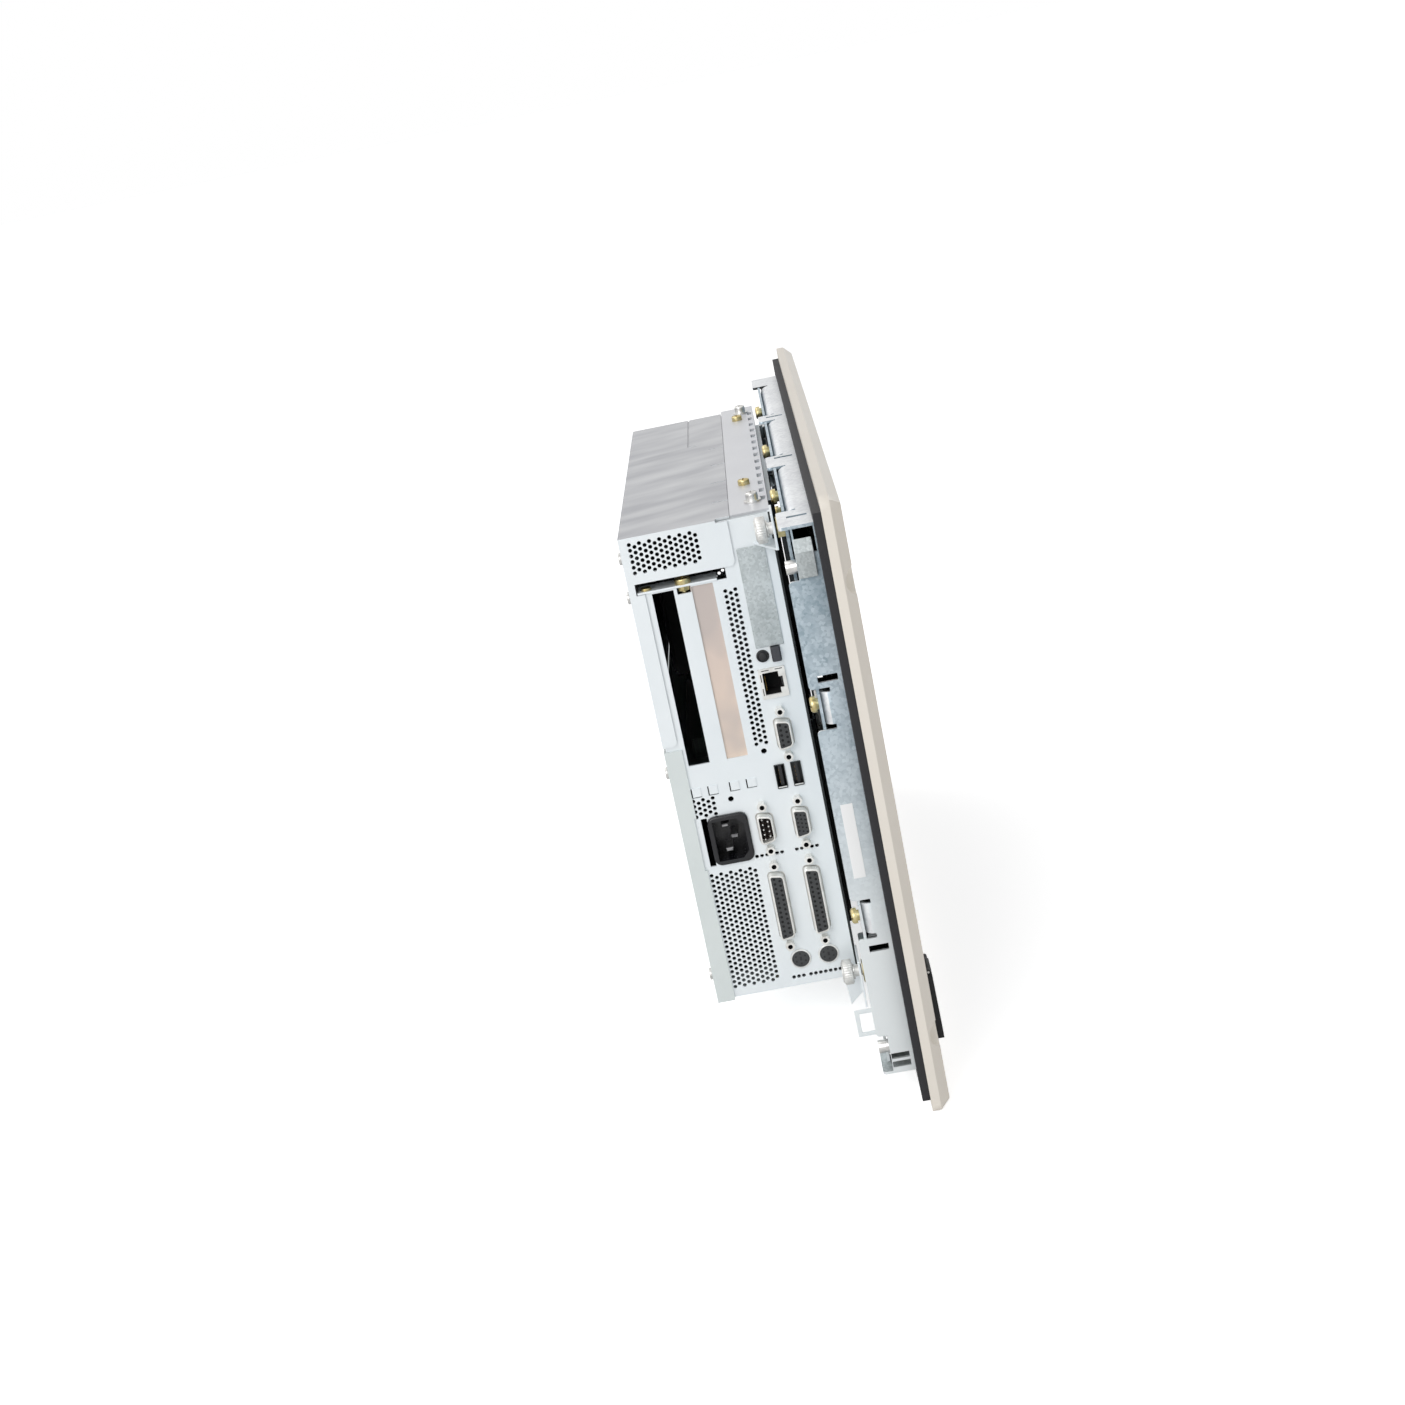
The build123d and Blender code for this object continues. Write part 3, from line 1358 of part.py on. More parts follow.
def dsub(y, z, length, pitch, kind):
    """One trapezoid connector: flange, shell, insert and its contacts."""
    rim = port_outer - shell_proud
    outer = shell_outline(length, shell_width, shell_corner_radius)
    inner = shell_outline(length - 2 * shell_wall, shell_width - 2 * shell_wall,
                          shell_corner_radius - shell_wall)
    shell = side_sheet(moved_wire(outer, y, z), [moved_wire(inner, y, z)], rim, port_inner)
    flange_half = pitch / 2 + dsub_flange_margin
    flange = block(port_inner, port_inner + dsub_flange_thickness, y - dsub_flange_width / 2,
                   y + dsub_flange_width / 2, z - flange_half, z + flange_half)
    foot = board_rear if y == column_low_y else (column_low_y + column_high_y) / 2
    body = block(port_inner + dsub_flange_thickness, port_inner + dsub_flange_thickness + dsub_body_depth,
                 foot, y + shell_width / 2 - dsub_body_margin,
                 z - length / 2 + dsub_body_margin, z + length / 2 - dsub_body_margin)
    solid = flange + body + shell
    male = kind == "pins"
    face_x = port_outer if male else rim + insert_recess
    insert = side_sheet(moved_wire(inner, y, z), [], face_x, port_inner)
    solid = solid + insert
    tools = []
    for dy, dz in contact_places(kind):
        if male:
            tools.append(rod_x(contact_radius, rim + pin_recess, port_inner, y + dy, z + dz))
        else:
            tools.append(rod_x(contact_radius, face_x - overrun, face_x + contact_depth, y + dy, z + dz))
    for end in (-pitch / 2, pitch / 2):
        hole = rod_x(jack_shank_radius, port_inner - overrun, port_inner + dsub_body_depth, y, z + end)
        solid = solid - hole
    return solid + tools if male else solid - tools


def jack_screws():
    """Hexagon jack screws, two beside each trapezoid connector."""
    screws = []
    for name, y, z, length, pitch, kind in dsub_list():
        for end in (-pitch / 2, pitch / 2):
            tip = port_outer - jack_length
            hexagon = side_plane(tip) * (Pos(y, z + end) * RegularPolygon(jack_radius, 6))
            head = extrude(hexagon, jack_length)
            shank = rod_x(jack_shank_radius, port_outer, port_inner + jack_shank_length, y, z + end)
            bore = rod_x(jack_hole_radius, tip - overrun, tip + jack_hole_depth, y, z + end)
            screws.append(head + shank - bore)
    return screws


def round_sockets():
    """Keyboard and mouse sockets stacked in one housing on the main board."""
    front = port_outer - din_proud
    low_z, high_z = din_z - din_radius - din_block_margin, din_z + din_radius + din_block_margin
    housing = block(port_inner, port_inner + din_depth,
                    board_rear, din_ys[1] + din_radius + din_block_margin, low_z, high_z)
    cuts = []
    for y in din_ys:
        housing = housing + rod_x(din_ring_radius, front, port_inner, y, din_z)
        ring = rod_x(din_radius, front - overrun, front + din_face_recess, y, din_z)
        cuts.append(ring)
        for index in range(6):
            angle = math.radians(30 + 60 * index)
            dy, dz = din_contact_circle * math.cos(angle), din_contact_circle * math.sin(angle)
            cuts.append(rod_x(din_contact_radius, front, front + din_depth / 3, y + dy, din_z + dz))
        cuts.append(block(front, front + din_depth / 3, y - din_key_height / 2, y + din_key_height / 2,
                          din_z - din_key_width / 2, din_z + din_key_width / 2))
    return housing - cuts


def inlet_outline(width, height, cut):
    """Rectangle with the two corners on its front side cut off, as on a mains inlet."""
    x, y = width / 2, height / 2
    points = [(cut - x, -y), (x, -y), (x, y), (cut - x, y), (-x, y - cut), (-x, cut - y)]
    return make_face(Polyline(*points, close=True).edges())


def mains_inlet():
    """Mains inlet: rounded flange, body behind the plate and the cup for the plug."""
    flange_front = port_outer - inlet_flange_proud
    rounded = RectangleRounded(inlet_flange_width, inlet_flange_height, inlet_flange_radius)
    flange = Pos(0, inlet_y, inlet_z) * extrude(side_plane(flange_front) * rounded, inlet_flange_proud)
    body = block(port_outer, port_inner + inlet_body_depth,
                 inlet_y - inlet_body_width / 2, inlet_y + inlet_body_width / 2,
                 inlet_z - inlet_body_height / 2, inlet_z + inlet_body_height / 2)
    cup = Pos(0, inlet_y, inlet_z) * extrude(
        side_plane(flange_front) * inlet_outline(inlet_cup_width, inlet_cup_height, inlet_cup_chamfer),
        inlet_cup_depth)
    return flange + body - cup


def inlet_pins():
    """Line, neutral and earth blades of the mains inlet."""
    floor = port_outer - inlet_flange_proud + inlet_cup_depth
    tip = floor - inlet_pin_length
    places = [(inlet_pin_offset, inlet_pin_pitch / 2), (inlet_pin_offset, -inlet_pin_pitch / 2),
              (-inlet_earth_offset, 0)]
    pins = []
    for dy, dz in places:
        pin = block(tip, floor, inlet_y + dy - inlet_pin_height / 2, inlet_y + dy + inlet_pin_height / 2,
                    inlet_z + dz - inlet_pin_width / 2, inlet_z + dz + inlet_pin_width / 2)
        pins.append(chamfer(pin.faces().sort_by(Axis.X)[0].edges(), inlet_pin_width / 4))
    return pins


# Latches

def latch_flanges():
    """Bent flanges beside the port plate: the upper with a gusset, the lower with a side web."""
    left = latch_x - latch_width / 2
    flanges = []
    for z in (latch_upper_z, latch_lower_z):
        plate = block(left, port_outer, latch_front, unit_front, z - latch_height / 2, z + latch_height / 2)
        bore = rod_y(thumb_shank_radius + pin_gap, latch_front - overrun, unit_front + overrun, latch_x, z)
        flanges.append(plate - bore)
    floor = latch_upper_z - latch_height / 2
    corner = unit_front + latch_gusset_length
    gusset = make_face(Polyline((left, unit_front), (port_outer, unit_front), (port_outer, corner),
                                close=True).edges())
    flanges[0] = flanges[0] + Pos(0, 0, floor) * extrude(gusset, sheet)
    middle = unit_bottom + (latch_web_low - unit_bottom) * latch_web_share
    web = Wire.make_polygon([(port_outer, y, z) for y, z in (
        (latch_front, unit_bottom), (latch_web_rear, unit_bottom), (latch_web_rear - sheet, latch_web_low),
        (latch_front, middle))])
    foot = block(left, port_inner + sheet, latch_front, unit_front, middle, latch_lower_z - latch_height / 2)
    flanges[1] = flanges[1] + [foot, Solid.extrude(Face(web), Vector(sheet, 0, 0))]
    return flanges


def thumb_washer(z):
    """Washer held captive under the knob."""
    ring = rod_y(washer_radius, washer_front, washer_rear, latch_x, z)
    return ring - rod_y(thumb_shank_radius + pin_gap, unit_front, washer_rear + overrun, latch_x, z)


def thumbscrew(z):
    """Knurled thumbscrew, backed out of its nut: grooved knob, cap and shank."""
    base = washer_rear + pin_gap
    knob = rod_y(knob_radius, base, base + knob_length, latch_x, z)
    cap = rod_y(knob_cap_radius, base + knob_length, base + knob_length + knob_cap_length, latch_x, z)
    grooves = []
    for index in range(knob_groove_count):
        angle = 2 * math.pi * index / knob_groove_count
        grooves.append(rod_y(knob_groove_radius, base - overrun, base + knob_length + overrun,
                             latch_x + knob_radius * math.cos(angle), z + knob_radius * math.sin(angle)))
    shank = rod_y(thumb_shank_radius, nut_rear + running_gap, base, latch_x, z)
    return knob + cap + shank - grooves


# Screws of the computing unit

def pan_head(radius, height, shank_radius, shank_length):
    """A pan head lying on z = 0 with its shank below."""
    head = rod_z(radius, 0, height, 0, 0)
    head = fillet(head.faces().sort_by(Axis.Z)[-1].edges(), height / 3)
    shank = rod_z(shank_radius, -shank_length, 0, 0, 0)
    cross = [block(-radius * dome_share, radius * dome_share, -screw_recess_width / 2, screw_recess_width / 2,
                   height - screw_recess_depth, height + overrun),
             block(-screw_recess_width / 2, screw_recess_width / 2, -radius * dome_share, radius * dome_share,
                   height - screw_recess_depth, height + overrun)]
    return head + shank - cross


def cover_screws():
    """Pan heads on the rear covers."""
    head = pan_head(screw_radius, screw_height, screw_shank_radius, screw_shank_length)
    return [Pos(x, cover_rear, z) * Rot(-90, 0, 0) * head
            for x, z in rear_screw_places(unit_bottom, unit_top)]


def chassis_screws():
    """Zinc-yellow screws on the top channel and under the chassis."""
    tall = pan_head(screw_radius, screw_height + sheet, screw_shank_radius, screw_shank_length)
    low = pan_head(screw_radius, screw_height, screw_shank_radius, screw_shank_length)
    screws = [Pos(x, y, cover_top) * tall for x, y in top_screws]
    return screws + [Pos(x, y, unit_bottom) * Rot(180, 0, 0) * low for x, y in bottom_screw_places()]


def washer_screws():
    """Bright screws with washers at both ends of the top channel."""
    screws = []
    for x, y in top_washer_screws:
        washer = rod_z(washer_head_radius, cover_top, cover_top + washer_head_height, x, y)
        head = pan_head(screw_radius, top_washer_head_height, screw_shank_radius,
                        screw_shank_length + washer_head_height)
        screws.append(washer + Pos(x, y, cover_top + washer_head_height) * head)
    return screws


# Boards, supply, drive and fan

def main_board():
    """Main board with its processor and chipset."""
    board = block(mother_left, mother_right, board_y, board_rear, mother_low, mother_high)
    cpu = block(cpu_x - cpu_size / 2, cpu_x + cpu_size / 2, board_rear, board_rear + cpu_height,
                cpu_z - cpu_size / 2, cpu_z + cpu_size / 2)
    chip = block(chipset_x - chipset_size / 2, chipset_x + chipset_size / 2, board_rear,
                 board_rear + chipset_height, chipset_z - chipset_size / 2, chipset_z + chipset_size / 2)
    return board + [cpu, chip]


def heatsink():
    """Finned heat sink on the processor."""
    front = board_rear + cpu_height
    half = heatsink_size / 2
    solid = block(cpu_x - half, cpu_x + half, front, front + heatsink_base, cpu_z - half, cpu_z + half)
    fins = []
    for index in range(heatsink_fin_count):
        x = cpu_x - half + index * (heatsink_size - heatsink_fin) / (heatsink_fin_count - 1)
        fins.append(block(x, x + heatsink_fin, front, front + heatsink_height, cpu_z - half, cpu_z + half))
    return solid + fins


def riser_board():
    """Riser that stands on the main board and carries the two card sockets."""
    board = block(riser_left, riser_right, board_rear, riser_rear, riser_z, riser_z + board_thickness)
    sockets = []
    for y in (blank_slot_y, open_slot_y):
        sockets.append(block(riser_socket_x, riser_socket_x + riser_socket_length, y - riser_socket_width / 2,
                             y + riser_socket_width / 2, riser_z + board_thickness,
                             riser_z + board_thickness + riser_socket_height))
    return board + sockets


def power_supply():
    """Folded supply case, open towards the port side."""
    low = unit_bottom + sheet
    outer = block(supply_left, supply_right, supply_front, supply_rear, low, supply_high)
    inner = block(supply_left - overrun, supply_right - supply_sheet, supply_front + supply_sheet,
                  supply_rear - supply_sheet, low + supply_sheet, supply_high - supply_sheet)
    return outer - inner


def supply_board():
    """Supply board with a transformer and two capacitors, on the case's front wall."""
    low = unit_bottom + sheet + supply_sheet + running_gap
    front = supply_front + supply_sheet
    board = block(supply_left, supply_right - supply_sheet - running_gap, front, front + board_thickness,
                  low, supply_high - supply_sheet - running_gap)
    top = front + board_thickness
    middle_z = (low + supply_high) / 2
    middle_x = (supply_left + supply_right) / 2
    coil = rod_y(coil_radius, top, top + coil_height, middle_x, middle_z)
    cans = [rod_y(can_radius, top, top + can_height,
                  middle_x - 2 * coil_radius, middle_z + side * coil_radius) for side in (-1, 1)]
    return board + [coil] + cans


def disk_tray():
    """Tray for the hard disk, hung from the top flange of the chassis."""
    x0, x1 = disk_left - tray_margin, disk_left + disk_length + tray_margin
    plate = block(x0, x1, disk_front - sheet, disk_front, disk_low - tray_margin, unit_top - sheet)
    flange = block(x0, x1, chassis_flange_y - tray_margin, disk_front, unit_top - 2 * sheet, unit_top - sheet)
    return plate + flange


def hard_disk():
    """Closed disk drive with a rebate round its lid."""
    body = block(disk_left, disk_left + disk_length, disk_front, disk_front + disk_thickness,
                 disk_low, disk_low + disk_width)
    rear = disk_front + disk_thickness
    edge = block(disk_left - overrun, disk_left + disk_length + overrun, rear - disk_rebate, rear + overrun,
                 disk_low - overrun, disk_low + disk_width + overrun)
    lid = block(disk_left + disk_rebate, disk_left + disk_length - disk_rebate, rear - disk_rebate, rear,
                disk_low + disk_rebate, disk_low + disk_width - disk_rebate)
    return body - edge + lid


def fan_frame():
    """Square fan frame with a bore, three struts and the bearing post."""
    x0, x1 = fan_face - fan_depth, fan_face
    half = fan_size / 2
    body = block(x0, x1, fan_y - half, fan_y + half, fan_z - half, fan_z + half)
    bore = rod_x(fan_bore_radius, x0 - overrun, x1 + overrun, fan_y, fan_z)
    holes = [rod_x(fan_screw_radius, x0 - overrun, x1 + overrun, fan_y + sy * fan_screw_pitch / 2,
                   fan_z + sz * fan_screw_pitch / 2) for sy in (-1, 1) for sz in (-1, 1)]
    mount = rod_x(fan_hub_radius, x1 - fan_mount_thickness, x1, fan_y, fan_z)
    struts = []
    for index in range(3):
        strut = block(x1 - fan_mount_thickness, x1, -fan_strut_width / 2, fan_strut_width / 2,
                      0, fan_bore_radius + overrun)
        struts.append(Pos(0, fan_y, fan_z) * Rot(120 * index, 0, 0) * strut)
    post = rod_x(fan_shaft_radius, rotor_front + fan_blade_thickness + running_gap, x1, fan_y, fan_z)
    return body - [bore] - holes + [mount, post] + struts


def fan_rotor():
    """Hub and blades, running on the frame's post."""
    x0, x1 = rotor_front, rotor_rear
    hub = rod_x(fan_hub_radius, x0, x1, fan_y, fan_z)
    blades = []
    for index in range(fan_blade_count):
        blade = block(-fan_blade_thickness / 2, fan_blade_thickness / 2, -fan_blade_chord / 2,
                      fan_blade_chord / 2, fan_hub_radius / 2, fan_blade_radius - running_gap)
        tilted = Rot(0, 0, fan_blade_pitch_angle) * blade
        blades.append(Pos((x0 + x1) / 2, fan_y, fan_z) * Rot(360 / fan_blade_count * index, 0, 0) * tilted)
    bore = rod_x(fan_shaft_radius + pin_gap, x0 + fan_blade_thickness, x1 + overrun, fan_y, fan_z)
    limit = rod_x(fan_blade_radius, x0 - overrun, x1, fan_y, fan_z)
    return (hub + blades) & limit - bore


def all_parts():
    """Every piece of the computer by its node name."""
    parts = {
        "front_bezel": front_bezel(),
        "front_foil": front_foil(),
        "touch_glass": touch_glass(),
        "lcd_module": lcd_module(),
        "interface_board": interface_board(),
        "panel_gasket": panel_gasket(),
        "flap_base": flap_base(),
        "flap_pin": flap_pin(),
        "front_flap": front_flap(),
        "service_socket": service_socket(),
        "mounting_frame": mounting_frame(),
        "back_plate": back_plate(),
        "back_plate_screws": back_plate_screws(),
        "corner_clip": corner_clip(),
        "corner_studs": corner_studs(),
        "label_plate": label_plate(),
        "cable_lug": cable_lug(),
        "latch_nuts": latch_nuts(),
        "frame_hinges": [frame_hinge(hinge_lower_z), frame_hinge(hinge_upper_z)],
        "hinge_pins": hinge_pins(),
        "unit_hinges": [unit_hinge(hinge_lower_z), unit_hinge(hinge_upper_z)],
        "chassis_tub": chassis_tub(),
        "port_plate": port_plate(),
        "top_channel": top_channel(),
        "rear_cover": rear_cover(),
        "lower_cover": lower_cover(),
        "slot_blank": slot_blank(),
        "card_rail": card_rail(),
        "rail_screws": rail_screws(),
        "card_cover": card_cover(),
        "reset_button": reset_button(),
        "ejector_button": ejector_button(),
        "network_socket": network_socket(),
        "bus_sockets": bus_sockets(),
        "jack_screws": jack_screws(),
        "round_sockets": round_sockets(),
        "mains_inlet": mains_inlet(),
        "inlet_pins": inlet_pins(),
        "latch_flanges": latch_flanges(),
        "thumb_washer_upper": thumb_washer(latch_upper_z),
        "thumb_washer_lower": thumb_washer(latch_lower_z),
        "thumbscrew_upper": thumbscrew(latch_upper_z),
        "thumbscrew_lower": thumbscrew(latch_lower_z),
        "cover_screws": cover_screws(),
        "chassis_screws": chassis_screws(),
        "washer_screws": washer_screws(),
        "main_board": main_board(),
        "heatsink": heatsink(),
        "riser_board": riser_board(),
        "power_supply": power_supply(),
        "supply_board": supply_board(),
        "disk_tray": disk_tray(),
        "hard_disk": hard_disk(),
        "fan_frame": fan_frame(),
        "fan_rotor": fan_rotor(),
    }
    for name, y, z, length, pitch, kind in dsub_list():
        parts[name] = dsub(y, z, length, pitch, kind)
    return parts


for name, shape in all_parts().items():
    if isinstance(shape, (list, tuple)):
        solids = [solid for item in shape for solid in item.solids()]
    else:
        solids = shape.solids()
    node = solids[0] if len(solids) == 1 else Compound(children=solids)
    export_step(node, f"parts/{name}.step")
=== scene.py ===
import math

import bmesh
import bpy
from mathutils import Euler, Matrix, Vector


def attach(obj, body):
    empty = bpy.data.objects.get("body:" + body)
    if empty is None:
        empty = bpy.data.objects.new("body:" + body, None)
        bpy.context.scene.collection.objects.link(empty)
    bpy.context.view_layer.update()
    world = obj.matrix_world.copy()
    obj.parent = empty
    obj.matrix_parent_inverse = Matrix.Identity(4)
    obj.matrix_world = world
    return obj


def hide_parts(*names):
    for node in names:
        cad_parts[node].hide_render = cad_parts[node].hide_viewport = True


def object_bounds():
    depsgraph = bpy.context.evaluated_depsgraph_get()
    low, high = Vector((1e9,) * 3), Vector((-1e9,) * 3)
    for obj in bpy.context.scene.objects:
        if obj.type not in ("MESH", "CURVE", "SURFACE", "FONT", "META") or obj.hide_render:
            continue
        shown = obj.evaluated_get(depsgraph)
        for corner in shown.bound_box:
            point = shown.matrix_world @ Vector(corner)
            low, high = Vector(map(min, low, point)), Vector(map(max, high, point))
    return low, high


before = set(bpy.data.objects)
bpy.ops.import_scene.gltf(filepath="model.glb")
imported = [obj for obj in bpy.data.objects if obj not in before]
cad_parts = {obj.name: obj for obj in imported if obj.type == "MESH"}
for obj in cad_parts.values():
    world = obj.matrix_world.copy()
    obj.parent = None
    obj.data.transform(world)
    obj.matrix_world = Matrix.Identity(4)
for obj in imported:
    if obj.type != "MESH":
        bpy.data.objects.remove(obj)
cad_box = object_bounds()

bl_info = {
    "name": "Industrial panel computer",
    "version": (1, 0, 0),
    "blender": (4, 5, 0),
    "location": "View3D > Sidebar > Panel PC",
    "description": "Dresses the panel computer's frame with its finishes, connectors and studio",
    "category": "Object",
}

MM = 0.001

# Two places this close, in millimetres, are the same place.
NEAR = 0.001

# Lengths below are in millimetres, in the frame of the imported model.
# Planes and rows that the computing unit's pieces share.
PORT_FACE = -138.4
PLATE_BACK = -137.2
BOARD_REAR = 30.5
LOW_COLUMN = 37.8
HIGH_COLUMN = 56.8

# A rack hole of the bezel, in X and Z from the middle, and the radius just outside its recess.
RACK_HOLE = (232.55, 117.475)
RACK_RECESS_REACH = 8.2

# Where other faces of carried-over nodes begin.
CHASSIS_FRONT = 24.31
FRAME_FOLD = -214.0
FRAME_FLOOR = -140.0
FRAME_FAR_WALL = 150.0
JACK_BORE_REACH = 1.34

# Each trapezoid connector: node, Y, Z, shell length, jack pitch and contact layout.
TRAPEZOIDS = (
    ("fieldbus_socket", LOW_COLUMN, 18.1, 16.8, 24.99, "nine"),
    ("serial_plug", HIGH_COLUMN, -31.8, 16.8, 24.99, "pins"),
    ("monitor_socket", LOW_COLUMN, -31.8, 16.8, 24.99, "fifteen"),
    ("serial_socket", HIGH_COLUMN, -76.9, 38.8, 47.04, "long"),
    ("printer_socket", LOW_COLUMN, -76.9, 38.8, 47.04, "long"),
)


def linear(hex_colour):
    """A colour as written in sRGB hex, in the linear values that Blender's shaders take."""
    parts = [int(hex_colour[i:i + 2], 16) / 255 for i in (1, 3, 5)]
    lin = [p / 12.92 if p <= 0.04045 else ((p + 0.055) / 1.055) ** 2.4 for p in parts]
    return (*lin, 1.0)


def add_node(tree, kind, sockets=None, **settings):
    """Adds one shader node with its settings, and sets or links its sockets."""
    fresh = tree.nodes.new(kind)
    for key, value in settings.items():
        setattr(fresh, key, value)
    for key, value in (sockets or {}).items():
        if isinstance(value, bpy.types.NodeSocket):
            tree.links.new(value, fresh.inputs[key])
        else:
            fresh.inputs[key].default_value = value
    return fresh


def start_material(name, **shader_values):
    """A new material: its tree, its main shader and its object coordinates."""
    material = bpy.data.materials.new(name)
    material.use_nodes = True
    tree = material.node_tree
    tree.nodes.clear()
    shader = add_node(tree, "ShaderNodeBsdfPrincipled",
                      {key.replace("_", " "): value for key, value in shader_values.items()})
    add_node(tree, "ShaderNodeOutputMaterial", {"Surface": shader.outputs[0]})
    place = add_node(tree, "ShaderNodeTexCoord").outputs["Object"]
    return material, tree, shader, place


def per_mm(size):
    """The texture scale whose features are that many millimetres across."""
    return 1.0 / (size * MM)


# Finishes

def powder_coat(name, colour, shade, grain=0.7, bump=0.12, roughness=0.5):
    """Baked powder paint: an even colour with a faint orange peel in its highlights."""
    material, tree, shader, place = start_material(name, Roughness=roughness)
    broad = add_node(tree, "ShaderNodeTexNoise", {"Vector": place, "Scale": per_mm(60), "Detail": 2.0})
    tone = add_node(tree, "ShaderNodeMix", {0: broad.outputs["Fac"], 6: linear(colour), 7: linear(shade)},
                    data_type="RGBA")
    tree.links.new(tone.outputs[2], shader.inputs["Base Color"])
    peel = add_node(tree, "ShaderNodeTexNoise", {"Vector": place, "Scale": per_mm(grain), "Detail": 3.0})
    relief = add_node(tree, "ShaderNodeBump", {"Height": peel.outputs["Fac"], "Strength": bump,
                                               "Distance": 0.05 * MM})
    tree.links.new(relief.outputs[0], shader.inputs["Normal"])
    return material


def moulded_plastic(name, colour, roughness=0.45, grain=0.4, bump=0.25):
    """Injection-moulded plastic with a fine spark-eroded grain that softens its shine."""
    material, tree, shader, place = start_material(name, Base_Color=linear(colour))
    texture = add_node(tree, "ShaderNodeTexNoise", {"Vector": place, "Scale": per_mm(grain), "Detail": 4.0})
    spread = add_node(tree, "ShaderNodeMapRange", {"Value": texture.outputs["Fac"],
                                                   "To Min": roughness - 0.06, "To Max": roughness + 0.08})
    tree.links.new(spread.outputs[0], shader.inputs["Roughness"])
    relief = add_node(tree, "ShaderNodeBump", {"Height": texture.outputs["Fac"], "Strength": bump,
                                               "Distance": 0.04 * MM})
    tree.links.new(relief.outputs[0], shader.inputs["Normal"])
    return material


def galvanised_sheet(name, dark, light, spangle=1.5, roughness=0.4, contrast=0.22, pale=None,
                     fade=(-75.0, 45.0)):
    """Hot-dip galvanised steel: frost-like zinc crystals under clouds; given a pale tint, it turns paler
    towards its foot as a painted reflection.
    """
    material, tree, shader, place = start_material(name, Metallic=0.55)
    wobble = add_node(tree, "ShaderNodeTexNoise", {"Vector": place, "Scale": per_mm(2.0), "Detail": 3.0})
    shift = add_node(tree, "ShaderNodeVectorMath", {0: wobble.outputs["Color"], "Scale": 1.4 * MM},
                     operation="SCALE")
    bent = add_node(tree, "ShaderNodeVectorMath", {0: place, 1: shift.outputs[0]}, operation="ADD")
    crystal = add_node(tree, "ShaderNodeTexVoronoi", {"Vector": bent.outputs[0], "Scale": per_mm(spangle)})
    cloud = add_node(tree, "ShaderNodeTexNoise", {"Vector": place, "Scale": per_mm(26), "Detail": 5.0,
                                                  "Roughness": 0.6})
    value = add_node(tree, "ShaderNodeSeparateColor", {0: crystal.outputs["Color"]})
    blend = add_node(tree, "ShaderNodeMix", {0: contrast, 2: cloud.outputs["Fac"], 3: value.outputs[0]})
    spread = add_node(tree, "ShaderNodeMapRange", {"Value": blend.outputs[0], "From Min": 0.34,
                                                   "From Max": 0.65})
    tone = add_node(tree, "ShaderNodeMix", {0: spread.outputs[0], 6: linear(dark), 7: linear(light)},
                    data_type="RGBA")
    # Painted reflection: below the fade band the tint turns to the pale colour.
    if pale:
        along = add_node(tree, "ShaderNodeSeparateXYZ", {0: place})
        height = add_node(tree, "ShaderNodeMapRange", {"Value": along.outputs["Z"],
                                                       "From Min": fade[0] * MM, "From Max": fade[1] * MM})
        tone = add_node(tree, "ShaderNodeMix", {0: height.outputs[0], 6: linear(pale), 7: tone.outputs[2]},
                        data_type="RGBA")
    tree.links.new(tone.outputs[2], shader.inputs["Base Color"])
    gloss = add_node(tree, "ShaderNodeMapRange", {"Value": value.outputs[1], "To Min": roughness - 0.08,
                                                  "To Max": roughness + 0.1})
    tree.links.new(gloss.outputs[0], shader.inputs["Roughness"])
    return material


def passivated_sheet(name, colour, shade, metallic=0.35, roughness=0.42):
    """Zinc-plated and passivated sheet: an even pale blue-grey with a silky sheen."""
    material, tree, shader, place = start_material(name, Metallic=metallic)
    cloud = add_node(tree, "ShaderNodeTexNoise", {"Vector": place, "Scale": per_mm(35), "Detail": 3.0})
    tone = add_node(tree, "ShaderNodeMix", {0: cloud.outputs["Fac"], 6: linear(colour), 7: linear(shade)},
                    data_type="RGBA")
    tree.links.new(tone.outputs[2], shader.inputs["Base Color"])
    fine = add_node(tree, "ShaderNodeTexNoise", {"Vector": place, "Scale": per_mm(1.2), "Detail": 2.0})
    gloss = add_node(tree, "ShaderNodeMapRange", {"Value": fine.outputs["Fac"], "To Min": roughness - 0.06,
                                                  "To Max": roughness + 0.06})
    tree.links.new(gloss.outputs[0], shader.inputs["Roughness"])
    return material


def reflection_streaked_sheet(name, colour, streak, angle=1.9, metallic=0.5, roughness=0.42, width=14.0, reach=42.0):
    """Cold-rolled sheet with long soft streaks and a darker tone, lying at a slant on the cover's top:
    painted reflection.
    """
    material, tree, shader, place = start_material(name, Metallic=metallic)
    turned = add_node(tree, "ShaderNodeMapping", {"Vector": place, "Rotation": (0.0, 0.0, angle),
                                                  "Scale": (reach / width, 1.0, 1.0)}, vector_type="TEXTURE")
    band = add_node(tree, "ShaderNodeTexNoise", {"Vector": turned.outputs[0], "Scale": per_mm(width),
                                                 "Detail": 1.5, "Roughness": 0.5})
    broad = add_node(tree, "ShaderNodeTexNoise", {"Vector": place, "Scale": per_mm(90), "Detail": 1.0})
    blend = add_node(tree, "ShaderNodeMix", {0: 0.25, 2: band.outputs["Fac"], 3: broad.outputs["Fac"]})
    spread = add_node(tree, "ShaderNodeMapRange", {"Value": blend.outputs[0], "From Min": 0.3,
                                                   "From Max": 0.72})
    tone = add_node(tree, "ShaderNodeMix", {0: spread.outputs[0], 6: linear(colour), 7: linear(streak)},
                    data_type="RGBA")
    tree.links.new(tone.outputs[2], shader.inputs["Base Color"])
    gloss = add_node(tree, "ShaderNodeMapRange", {"Value": band.outputs["Fac"], "To Min": roughness - 0.05,
                                                  "To Max": roughness + 0.08})
    tree.links.new(gloss.outputs[0], shader.inputs["Roughness"])
    return material


